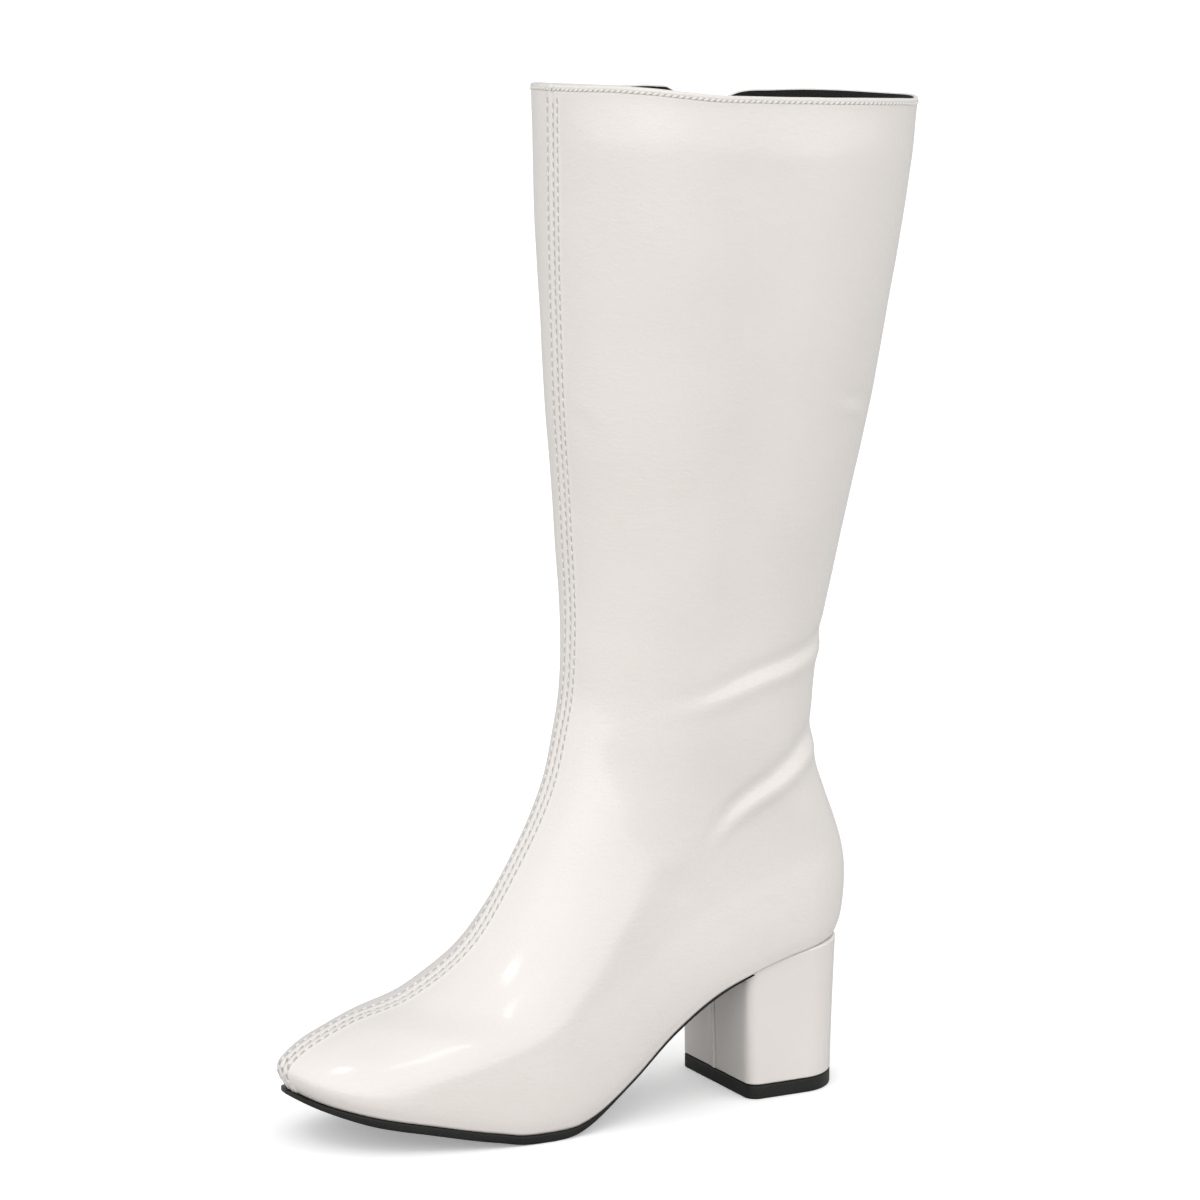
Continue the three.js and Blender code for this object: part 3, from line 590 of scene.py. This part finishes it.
leather = leather_group()
weave = weave_group()
rubbed = worn_group()
patent_values = {
    "Tone": (0.745, 0.708, 0.677, 1), "Shade": (0.715, 0.678, 0.647, 1),
    "Grain Size": 800.0, "Grain Depth": 0.5, "Peel Size": 230.0, "Crepe Depth": 1.8, "Cloud Size": 13.0,
    "Gloss": 0.26,
}
patent = finish_of(
    "patent_leather", leather, patent_values, 0.25, 0.0004,
    Coat_Weight=1.0, Coat_Roughness=0.14, IOR=1.5,
)
heel_patent = finish_of(
    "heel_cover_patent", leather, {**patent_values, "Crepe Depth": 0.3, "Cloud Size": 22.0}, 0.10, 0.0004,
    Coat_Weight=1.0, Coat_Roughness=0.07, IOR=1.5,
)
lining_cloth = finish_of(
    "lining_cloth", weave,
    {"Tone": (0.014, 0.013, 0.014, 1), "Shade": (0.005, 0.005, 0.005, 1), "Threads": 380.0, "Fuzz": 0.5},
    0.4, 0.0003, Sheen_Weight=0.05, Specular_IOR_Level=0.2,
)
sock_cloth = finish_of(
    "insole_sock", weave,
    {"Tone": (0.022, 0.021, 0.022, 1), "Shade": (0.008, 0.008, 0.008, 1), "Threads": 300.0, "Fuzz": 0.7},
    0.4, 0.0003, Sheen_Weight=0.08, Specular_IOR_Level=0.2,
)
zip_tape = finish_of(
    "zip_tape", weave,
    {"Tone": (0.66, 0.64, 0.61, 1), "Shade": (0.50, 0.48, 0.46, 1), "Threads": 700.0, "Fuzz": 0.4},
    0.5, 0.0002, Sheen_Weight=0.1,
)
thread = finish_of(
    "white_thread", weave,
    {"Tone": (0.86, 0.84, 0.80, 1), "Shade": (0.70, 0.68, 0.65, 1), "Threads": 1500.0, "Fuzz": 0.3},
    0.4, 0.0001, Sheen_Weight=0.1,
)
# Needle holes as dark grey marks: painted shade of the holes' recesses, with a lighter random speckle.
needle_hole_shade = finish_of(
    "needle_hole_shade", rubbed,
    {"Tone": (0.43, 0.41, 0.40, 1), "Rubbed": (0.54, 0.52, 0.50, 1), "Size": 900.0, "Gloss": 0.5},
    0.2, 0.0001,
)
sole_rubber = finish_of(
    "sole_rubber", rubbed,
    {"Tone": (0.008, 0.008, 0.008, 1), "Rubbed": (0.030, 0.029, 0.028, 1), "Size": 650.0, "Gloss": 0.30,
     "Spread": 0.25},
    0.25, 0.0003, Specular_IOR_Level=0.22,
)
tip_rubber = finish_of(
    "heel_tip_rubber", rubbed,
    {"Tone": (0.008, 0.008, 0.008, 1), "Rubbed": (0.028, 0.028, 0.027, 1), "Size": 800.0, "Gloss": 0.32,
     "Spread": 0.25},
    0.2, 0.0003, Specular_IOR_Level=0.25,
)
coil_plastic = finish_of(
    "zip_coil_plastic", rubbed,
    {"Tone": (0.72, 0.70, 0.67, 1), "Rubbed": (0.60, 0.58, 0.56, 1), "Size": 700.0, "Gloss": 0.25,
     "Spread": 0.2},
    0.1, 0.0001,
)
zip_nickel = finish_of(
    "zip_nickel", rubbed,
    {"Tone": (0.54, 0.535, 0.52, 1), "Rubbed": (0.36, 0.355, 0.345, 1), "Size": 900.0, "Gloss": 0.14,
     "Spread": 0.16},
    0.08, 0.0001, Metallic=1.0,
)

for name, material in (
    ("upper", patent), ("outsole", sole_rubber), ("heel_block", heel_patent), ("heel_tip", tip_rubber),
    ("insole", sock_cloth), ("zip_teeth", coil_plastic), ("zip_slider", zip_nickel), ("zip_tab", zip_nickel),
):
    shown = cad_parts[name].data.materials
    shown.clear()
    shown.append(material)


def make_upper():
    """The upper as one closed wall: outer skin, rolled rim, lining and the margin under the foot."""
    foot = np.linspace(0, ANKLE_RING, 84, endpoint=False)
    shaft = np.linspace(ANKLE_RING, 0.984, 130, endpoint=False)
    edge = np.linspace(0.984, RIM_RING, 14)
    outer_rings = np.concatenate([foot, shaft, edge])
    inner_rings = np.linspace(RIM_RING, 0.012, 44)

    def on_rings(rings):
        angle = upper_columns(rings)
        return rings[:, None] * np.ones_like(angle), angle

    ring, angle = on_rings(outer_rings)
    up, off = climb(ring, angle)
    outer = surface(ring, angle) + off * relief(ring, angle)[..., None]
    top, top_up, top_off = outer[-1:], up[-1:], off[-1:]
    turn = np.linspace(0, math.pi, 9)[1:, None, None]
    rim = top - top_off * RIM * (1 - np.cos(turn)) + top_up * RIM * np.sin(turn)
    ring, angle = on_rings(inner_rings)
    off = climb(ring, angle)[1]
    deep = WALL + 0 * angle
    inner = surface(ring, angle) - off * deep[..., None]
    settle = (1 - blended(np.arange(len(inner_rings)), 0, 4))[:, None, None]
    inner = inner + (rim[-1:] - inner[:1]) * settle
    base = upper_columns(np.zeros(1))
    margin = [
        underfoot(base, WALL, WALL), underfoot(base, LASTING_MARGIN * 0.6, WALL),
        underfoot(base, LASTING_MARGIN, WALL), underfoot(base, LASTING_MARGIN, 0),
        underfoot(base, LASTING_MARGIN * 0.5, 0), outer[:1],
    ]
    points = np.concatenate([outer, rim, inner[1:], *margin])
    mesh, face_row = mapped_grid("upper_leather", points)
    lined_from = len(outer) + 6
    lined_to = len(outer) + len(rim) + len(inner_rings) + 1
    lined = (face_row >= lined_from) & (face_row < lined_to)
    mesh.polygons.foreach_set("material_index", lined.astype(np.int32))
    close_up(mesh)
    return add_piece("upper_leather", mesh, "boot", [patent, lining_cloth], ["upper"])


def stitch_shape(length, width, height):
    """Corners and faces of one stitch, along X, standing on z = 0."""
    bead = bmesh.new()
    bmesh.ops.create_uvsphere(bead, u_segments=8, v_segments=4, radius=0.5)
    bmesh.ops.rotate(bead, verts=bead.verts, matrix=Matrix.Rotation(math.pi / 2, 3, "Y"))
    bmesh.ops.scale(bead, verts=bead.verts, vec=(length, width, height))
    bead.verts.ensure_lookup_table()
    corners = np.array([v.co for v in bead.verts])
    faces = [[v.index for v in face.verts] for face in bead.faces]
    bead.free()
    return corners, faces


def join_copies(name, shape, places, axes):
    """One mesh of a shape repeated at places. Axes are its X, Y and Z directions at each place."""
    corners, faces = shape
    turned = np.einsum("kc,pcw->pkw", corners, axes) + places[:, None, :]
    count = len(corners)
    every = [[v + count * p for v in face] for p in range(len(places)) for face in faces]
    mesh = bpy.data.meshes.new(name)
    mesh.from_pydata(turned.reshape(-1, 3).tolist(), [], every)
    mesh.polygons.foreach_set("use_smooth", np.ones(len(mesh.polygons), bool))
    mesh.update()
    return mesh


def row_on_skin(ring, angle, spacing, start=0.0, end=0.0):
    """Evenly spaced places on the skin along a line of rings and angles, with their directions."""
    line = surface(ring, angle)
    run = np.concatenate([[0], np.cumsum(np.linalg.norm(np.diff(line, axis=0), axis=1))])
    count = int((run[-1] - start - end) / spacing)
    at = start + spacing * (0.5 + np.arange(count))
    rings, angles = np.interp(at, run, ring), np.interp(at, run, angle)
    ahead = unit(np.stack([np.interp(at, run, np.gradient(line[:, k], run)) for k in range(3)], -1))
    off = climb(rings, angles)[1]
    places = surface(rings, angles) + off * relief(rings, angles)[:, None]
    ahead = unit(ahead - off * (ahead * off).sum(-1, keepdims=True))
    return places, ahead, np.cross(off, ahead), off


def slanted(ahead, beside, off, slant, stretch=1.0):
    """The axes of stitches that lie turned by an angle in their row and stretched along themselves."""
    c, s = math.cos(slant), math.sin(slant)
    return np.stack([(ahead * c + beside * s) * stretch, beside * c - ahead * s, off], 1)


def make_stitches():
    """The two rows beside the front seam, the row under the collar and the rows beside the zip, with painted shade
    at their needle holes.
    """
    seam_rings = np.linspace(0.012, 0.990, 700)
    threads, hole_shades = [], []

    def sew(ring, angle, spacing, slant, start=0.0, end=0.0, stretch=1.0):
        places, ahead, beside, off = row_on_skin(ring, angle, spacing, start, end)
        threads.append((places + off * 0.12 * MM, slanted(ahead, beside, off, slant, 1 / stretch)))
        # The dark marks in the gaps between stitches are painted shade of the needle holes.
        gaps = places + ahead * spacing / 2
        hole_shades.append((gaps + off * 0.01 * MM, slanted(ahead, beside, off, slant, stretch)))

    front_reach = reach(seam_rings, np.full_like(seam_rings, math.pi))
    for side in (1, -1):
        sew(seam_rings, side * (math.pi - SEAM_ROW / front_reach), 3.7 * MM, 0.2, stretch=1.25)
    sew(seam_rings, math.pi - 0.02 * MM / front_reach, 3.7 * MM, 0.55, start=1.5 * MM, stretch=1.45)
    turn = np.linspace(-math.pi, math.pi, 1400)
    around = np.full_like(turn, 1 - COLLAR_ROW / 0.45)
    away_from_zip = np.abs(zip_distance(around, turn)) > 4.2 * MM
    middle = int(np.argmin(away_from_zip))
    last = len(turn) - int(np.argmin(away_from_zip[::-1]))
    sew(around[:middle], turn[:middle], 2.5 * MM, 0.35)
    sew(around[last:], turn[last:], 2.5 * MM, 0.35)
    zip_rings = np.linspace(ZIP_END_RING - 0.006, 0.990, 500)
    zip_reach = reach(zip_rings, zip_angle(zip_rings))
    for side in (1, -1):
        sew(zip_rings, zip_angle(zip_rings) + side * ZIP_ROW / zip_reach, 3.0 * MM, side * 0.2)
    across = np.linspace(-ZIP_ROW, ZIP_ROW, 40)
    end_ring = np.full(40, ZIP_END_RING - 0.014)
    sew(end_ring, zip_angle(end_ring) + across / reach(end_ring, zip_angle(end_ring)), 2.7 * MM, 0)

    def joined(parts):
        return np.concatenate([p for p, _ in parts]), np.concatenate([a for _, a in parts])

    mesh = join_copies("stitches", stitch_shape(2.5 * MM, 1.0 * MM, 0.9 * MM), *joined(threads))
    add_piece("stitches", mesh, "boot", [thread])
    # Dark grey lenses at the needle holes, lying almost flat on the skin: painted shade of the holes.
    mesh = join_copies("needle_hole_shades", stitch_shape(2.1 * MM, 1.15 * MM, 0.46 * MM), *joined(hole_shades))
    add_piece("needle_hole_shades", mesh, "boot", [needle_hole_shade])


def heel_turned(x, along):
    a = along - HEEL_MIDDLE
    c, s = math.cos(HEEL_TURN), math.sin(HEEL_TURN)
    return x * c - a * s, HEEL_MIDDLE + a * c + x * s


def heel_outline(half, back, front, corner, inset=0.0):
    """The heel in plan, from the middle of the breast round the back and on to the breast again."""
    half, back, front = half - inset, back + inset, front - inset
    quarter = np.linspace(0, math.pi / 2, 9)
    beside_seam = np.array([0, 0.15, 0.3, 0.45, 0.6, 0.8, 1.05, 1.4, 1.9, 2.8, 4.0, 5.5]) * MM
    breast = np.concatenate([beside_seam, np.linspace(7.5 * MM, half - corner, 10)[:-1]])
    corner_x = half - corner * (1 - np.sin(quarter))
    corner_along = front - corner * (1 - np.cos(quarter))
    sides = np.linspace(front - corner, back + HEEL_ROUND, 18)[1:-1]
    curve = np.linspace(0, math.pi, 65)
    x = [breast, corner_x, np.full(len(sides), half), half * np.cos(curve)]
    x += [np.full(len(sides), -half), -corner_x[::-1], -breast[::-1]]
    along = [np.full(len(breast), front), corner_along, sides, back + HEEL_ROUND * (1 - np.sin(curve))]
    along += [sides[::-1], corner_along[::-1], np.full(len(breast), front)]
    return heel_turned(np.concatenate(x), np.concatenate(along))


def heel_ring(share, inset):
    """One ring of the heel's cover, from the tip (0) to the upper (1)."""
    half = HEEL_WIDTH / 2 - HEEL_WAIST * math.sin(math.pi * share)
    back = lerp(*HEEL_BACKS, share)
    x, along = heel_outline(half, back, HEEL_SETBACK + HEEL_LENGTH + BREAST_RAKE * share, HEEL_CORNER, inset)
    up = lerp(TIP + GAP, sole_edge_height(along) - GAP, share)
    return np.stack([x, HEEL_MIDDLE - along, up], -1)


def make_heel():
    """The block with its patent cover, whose ends meet in a seam up the middle of the breast."""
    fold = 0.8 * MM
    low = [heel_ring(0, inset) for inset in (fold * 6, fold * 3)]
    low += [heel_ring(0, fold * (1 - math.sin(t))) for t in np.linspace(0, math.pi / 2, 5)]
    for k, t in enumerate(np.linspace(0, math.pi / 2, 5)):
        low[2 + k][:, 2] += fold * (1 - math.cos(t))
    walls = [heel_ring(share, 0) for share in np.linspace(0, 1, 42)[1:-1]]
    high = [heel_ring(1, fold * (1 - math.cos(t))) for t in np.linspace(0, math.pi / 2, 5)]
    for k, t in enumerate(np.linspace(0, math.pi / 2, 5)):
        high[k][:, 2] -= fold * (1 - math.sin(t))
    high += [heel_ring(1, inset) for inset in (fold * 3, fold * 6)]
    points = np.stack(low + walls + high)
    middle = np.array(heel_turned(0, HEEL_SETBACK + HEEL_LENGTH))
    from_seam = (points[..., 0] - middle[0]) / MM
    on_breast = blended(-points[..., 1], HEEL_LENGTH / 2 - 2.2 * MM, HEEL_LENGTH / 2 - 1.0 * MM)
    lapped = blended(from_seam, -6, -0.5) * (1 - blended(from_seam, -0.5, 0))
    groove = on_breast * (1.0 * bump_at(from_seam, 0.2, 0.5) - 0.5 * lapped)
    points[..., 1] += groove * MM
    mesh, _ = mapped_grid("heel_cover", points)
    close_up(mesh, caps=True)
    add_piece("heel_cover", mesh, "boot", [heel_patent], ["heel_block"])


def make_heel_tip():
    edge = 0.5 * MM
    rings = []
    for t in np.linspace(0, math.pi / 2, 5):
        rings.append((edge * (1 - math.sin(t)), edge * (1 - math.cos(t))))
    rings += [(0, TIP * share) for share in (0.3, 0.45, 0.6, 0.75)]
    for t in np.linspace(0, math.pi / 2, 4):
        rings.append((edge * 0.5 * (1 - math.cos(t)), TIP - edge * 0.5 * (1 - math.sin(t))))
    stack = []
    for inset, up in [(edge * 8, 0)] + rings + [(edge * 8, TIP)]:
        x, along = heel_outline(HEEL_WIDTH / 2, HEEL_BACKS[0], HEEL_SETBACK + HEEL_LENGTH, HEEL_CORNER, inset)
        stack.append(np.stack([x, HEEL_MIDDLE - along, np.full(len(x), up)], -1))
    mesh, _ = mapped_grid("heel_tip_rubber", np.stack(stack))
    close_up(mesh, caps=True)
    add_piece("heel_tip_rubber", mesh, "boot", [tip_rubber], ["heel_tip"])


def across_foot(angle, right, left, count):
    share = np.linspace(0, 1, count)[None, :, None]
    return lerp(right[:, None, :], left[:, None, :], share)


def make_outsole():
    """The sole as sections across the foot, cut off by the heel's breast."""
    edge_ring = {name: read(RINGS, "ring", name, np.array(0.0)) for name in ("back_along", "front_along")}
    depth = edge_ring["front_along"] - edge_ring["back_along"]
    start = HEEL_SETBACK + HEEL_LENGTH - HEEL_WIDTH / 4
    first = math.acos(1 - 2 * float((start - edge_ring["back_along"]) / depth))
    angle = np.linspace(first, math.pi - 0.012, 150)

    def share_along(points):
        return (HEEL_MIDDLE - points[..., 1]) / FOOT_LENGTH

    def thickness(points):
        share = share_along(points)
        thick = lerp(SHANK, SOLE, blended(share, *SHANK_TO_SOLE))
        thick = lerp(SHANK * 0.6, thick, blended(share, 0.20, 0.32))
        return thick * (1 - 0.42 * blended(share, 0.90, 1.015))

    def edge_spread(points):
        """How far the edge stands out: less towards the heel, more under the tip of the toe."""
        share = share_along(points)
        under_waist = lerp(-1.4, -0.2, blended(share, 0.21, 0.31))
        return lerp(under_waist, 1, blended(share, 0.48, 0.60)) + 0.7 * blended(share, 0.92, 1.01)

    def side(turn):
        base = underfoot(turn, 0, -GAP)
        thick = thickness(base)
        stand_out = edge_spread(base)[:, None]

        def edge_point(spread, drop):
            point = underfoot(turn, -spread * stand_out, 0)
            point[..., 2] = base[..., 2] - drop * thick
            return point

        ring = [underfoot(turn, LASTING_MARGIN * inset, -GAP) for inset in (1.0, 0.6, 0.25)]
        ring += [edge_point(SOLE_EDGE * 0.75, 0), edge_point(SOLE_EDGE * 0.97, 0.06)]
        ring += [edge_point(SOLE_EDGE, drop) for drop in (0.16, 0.38, 0.6)]
        for t in np.linspace(0, math.pi / 2, 6)[1:]:
            spread = SOLE_EDGE - SOLE_BEVEL * (1 - math.cos(t))
            ring.append(edge_point(spread, 0.6 + 0.4 * math.sin(t)))
        inner = underfoot(turn, 1.5 * MM, 0)
        inner[..., 2] = base[..., 2] - thick
        ring.append(inner)
        return ring

    right, left = side(angle), side(-angle)
    under = across_foot(angle, right[-1], left[-1], 14)[:, 1:-1]
    over = across_foot(angle, left[0], right[0], 6)[:, 1:]
    points = np.concatenate([np.stack(right, 1), under, np.stack(left[::-1], 1), over], axis=1)
    mesh, _ = mapped_grid("sole_unit", points)
    shell = bmesh.new()
    shell.from_mesh(mesh)
    bmesh.ops.remove_doubles(shell, verts=shell.verts, dist=2e-6)
    rake = math.atan2(BREAST_RAKE, SEAT_RISE - TIP)
    x, along = heel_turned(0, HEEL_SETBACK + HEEL_LENGTH + GAP)
    facing = Vector((math.sin(HEEL_TURN), math.cos(HEEL_TURN), -math.sin(rake))).normalized()
    everything = list(shell.verts) + list(shell.edges) + list(shell.faces)
    bmesh.ops.bisect_plane(
        shell, geom=everything, plane_co=(x, HEEL_MIDDLE - along, TIP), plane_no=facing, clear_outer=True,
    )
    shell.to_mesh(mesh)
    shell.free()
    close_up(mesh, caps=True)
    add_piece("sole_unit", mesh, "boot", [sole_rubber], ["outsole"])


def make_insole():
    """The insole with its sock, which lies on the turned margin and is rounded at its edge."""
    angle = np.linspace(0.10, math.pi - 0.10, 110)
    low = WALL + GAP

    def side(turn):
        ring = [underfoot(turn, LASTING_MARGIN, low), underfoot(turn, low + 0.6 * MM, low)]
        for t in np.linspace(0, math.pi / 2, 6):
            inset = low + 0.6 * MM * (1 - math.sin(t))
            ring.append(underfoot(turn, inset + 0.2 * MM, low + INSOLE - 0.6 * MM + 0.6 * MM * math.sin(t)))
        ring.append(underfoot(turn, LASTING_MARGIN, low + INSOLE))
        return ring

    right, left = side(angle), side(-angle)
    over = across_foot(angle, right[-1], left[-1], 10)[:, 1:-1]
    under = across_foot(angle, left[0], right[0], 6)[:, 1:]
    points = np.concatenate([np.stack(right, 1), over, np.stack(left[::-1], 1), under], axis=1)
    mesh, _ = mapped_grid("insole_sock", points)
    close_up(mesh, caps=True)
    add_piece("insole_sock", mesh, "boot", [sock_cloth], ["insole"])


def make_zip():
    """The closed zip: its tape in the slot and the coil's two rows of teeth."""
    ring = np.linspace(ZIP_END_RING + 0.002, ZIP_TOP_RING, 260)
    middle = zip_angle(ring)
    metre = reach(ring, middle)
    under = -ZIP_DEPTH + GAP

    def strip(name, offsets, heights):
        rows = []
        for offset, height in zip(offsets, heights):
            angle = middle + offset * MM / metre
            rows.append(surface(ring, angle) + climb(ring, angle)[1] * (height * MM))
        mesh, _ = mapped_grid(name, np.stack(rows, 1))
        close_up(mesh, caps=True)
        return mesh

    low, high = under / MM, under / MM + 0.35
    tape = strip(
        "zip_tape", (-3.2, -3.3, -3.2, -1.6, 0, 1.6, 3.2, 3.3, 3.2, 1.6, 0, -1.6, -3.2),
        (low, (low + high) / 2, high, high, high - 0.1, high, high, (low + high) / 2, low, low, low, low, low),
    )
    add_piece("zip_tape", tape, "boot", [zip_tape], ["zip_teeth"])
    tooth = stitch_shape(2.5 * MM, 0.95 * MM, 0.75 * MM)
    places, axes = [], []
    for side in (1, -1):
        row = row_on_skin(ring, middle + side * 0.75 * MM / metre, 1.3 * MM, 0.65 * MM * (side > 0))
        spot, ahead, beside, off = row
        spot = spot + off * ((under + 0.75 * MM) - (-ZIP_DEPTH))
        places.append(spot)
        axes.append(np.stack([beside, ahead, off], 1))
    mesh = join_copies("zip_coil", tooth, np.concatenate(places), np.concatenate(axes))
    add_piece("zip_coil", mesh, "boot", [coil_plastic])


def set_camera():
    """The photograph's view: from the front of the outer side, a little above."""
    turn, pitch = math.radians(60.2), math.radians(9.46)
    right = Vector((math.cos(turn), math.sin(turn), 0))
    back = Vector((math.sin(turn) * math.cos(pitch), -math.cos(turn) * math.cos(pitch), math.sin(pitch)))
    up = back.cross(right)
    data = bpy.data.cameras.new("camera")
    data.sensor_width = 36.0
    data.sensor_fit = "HORIZONTAL"
    data.lens = 36.0 * 3932.75 / 1200
    data.clip_start = 0.05
    data.clip_end = 200.0
    camera = bpy.data.objects.new("camera", data)
    bpy.context.scene.collection.objects.link(camera)
    place = Matrix((right, up, back)).transposed().to_4x4()
    place.translation = Vector((1.2988, -0.8217, 0.45015))
    camera.matrix_world = place
    bpy.context.scene.camera = camera


# What the floor sends back to the boot is dimmer than the white that the camera sees.
FLOOR_BOUNCE = (0.60, 0.59, 0.58, 1)


def add_floor():
    sheet = bmesh.new()
    bmesh.ops.create_grid(sheet, x_segments=8, y_segments=8, size=40.0)
    mesh = bpy.data.meshes.new("floor")
    sheet.to_mesh(mesh)
    sheet.free()
    mesh.transform(Matrix.Translation((0, 0, -0.05 * MM)))
    floor = bpy.data.objects.new("floor", mesh)
    bpy.context.scene.collection.objects.link(floor)
    paper = finish_of(
        "pale_floor", rubbed,
        {"Tone": (0.93, 0.93, 0.93, 1), "Rubbed": (0.91, 0.91, 0.91, 1), "Size": 60.0, "Gloss": 0.7,
         "Spread": 0.1},
        0.0, 0.001,
    )
    tree = paper.node_tree
    shader = tree.nodes["Principled BSDF"]
    tone = shader.inputs["Base Color"].links[0].from_socket
    seen = node(tree, "LightPath")
    dimmed = node(tree, "Mix", data_type="RGBA")
    tree.links.new(seen.outputs["Is Camera Ray"], dimmed.inputs["Factor"])
    dimmed.inputs["A"].default_value = FLOOR_BOUNCE
    tree.links.new(tone, dimmed.inputs["B"])
    tree.links.new(dimmed.outputs["Result"], shader.inputs["Base Color"])
    shader.inputs["Specular IOR Level"].default_value = 0.0
    shader.inputs["Emission Color"].default_value = (1, 1, 1, 1)
    glow = math_node(tree, "MULTIPLY", seen.outputs["Is Camera Ray"], 0.28)
    tree.links.new(glow, shader.inputs["Emission Strength"])
    mesh.materials.append(paper)


def add_light(name, azimuth, elevation, distance, size, watts, aim=(0, -0.07, 0.18), color=(1, 1, 1)):
    a, e = math.radians(azimuth), math.radians(elevation)
    aim = Vector(aim)
    toward = Vector((math.sin(a) * math.cos(e), -math.cos(a) * math.cos(e), math.sin(e)))
    data = bpy.data.lights.new(name, "AREA")
    data.shape = "RECTANGLE"
    data.size, data.size_y = size
    data.energy = watts
    data.color = color
    light = bpy.data.objects.new(name, data)
    bpy.context.scene.collection.objects.link(light)
    light.location = aim + toward * distance
    light.rotation_euler = toward.to_track_quat("Z", "Y").to_euler()
    return light


# The studio's dome of light: its least strength and what it gains towards each direction.
SKY_LEAST = 0.49
SKY_GAINS = (((1, 0, 0), 0.95), ((0, -1, 0), 0.92), ((0, 1, 0), 0.33), ((0, 0, 1), 0.10))


def set_lights():
    world = bpy.data.worlds.new("studio")
    world.use_nodes = True
    tree = world.node_tree
    background = tree.nodes["Background"]
    background.inputs["Color"].default_value = (1.0, 1.0, 1.0, 1)
    way = node(tree, "TexCoord")
    strength = SKY_LEAST
    for direction, gain in SKY_GAINS:
        toward = node(tree, "VectorMath", operation="DOT_PRODUCT")
        tree.links.new(way.outputs["Generated"], toward.inputs[0])
        toward.inputs[1].default_value = direction
        ahead = math_node(tree, "MAXIMUM", toward.outputs["Value"], 0.0)
        strength = math_node(tree, "ADD", math_node(tree, "MULTIPLY", ahead, gain), strength)
    tree.links.new(strength, background.inputs["Strength"])
    bpy.context.scene.world = world
    add_light("front_softbox", 24, 48, 2.2, (0.30, 0.30), 1.6)
    add_light("side_softbox", 61, 48, 2.2, (0.40, 0.20), 0.8)
    add_light("low_softbox", 40, 15, 2.5, (1.8, 1.4), 1.6)
    bpy.context.scene.view_settings.view_transform = "Standard"


make_upper()
make_stitches()
make_heel()
make_heel_tip()
make_outsole()
make_insole()
make_zip()
set_camera()
add_floor()
set_lights()
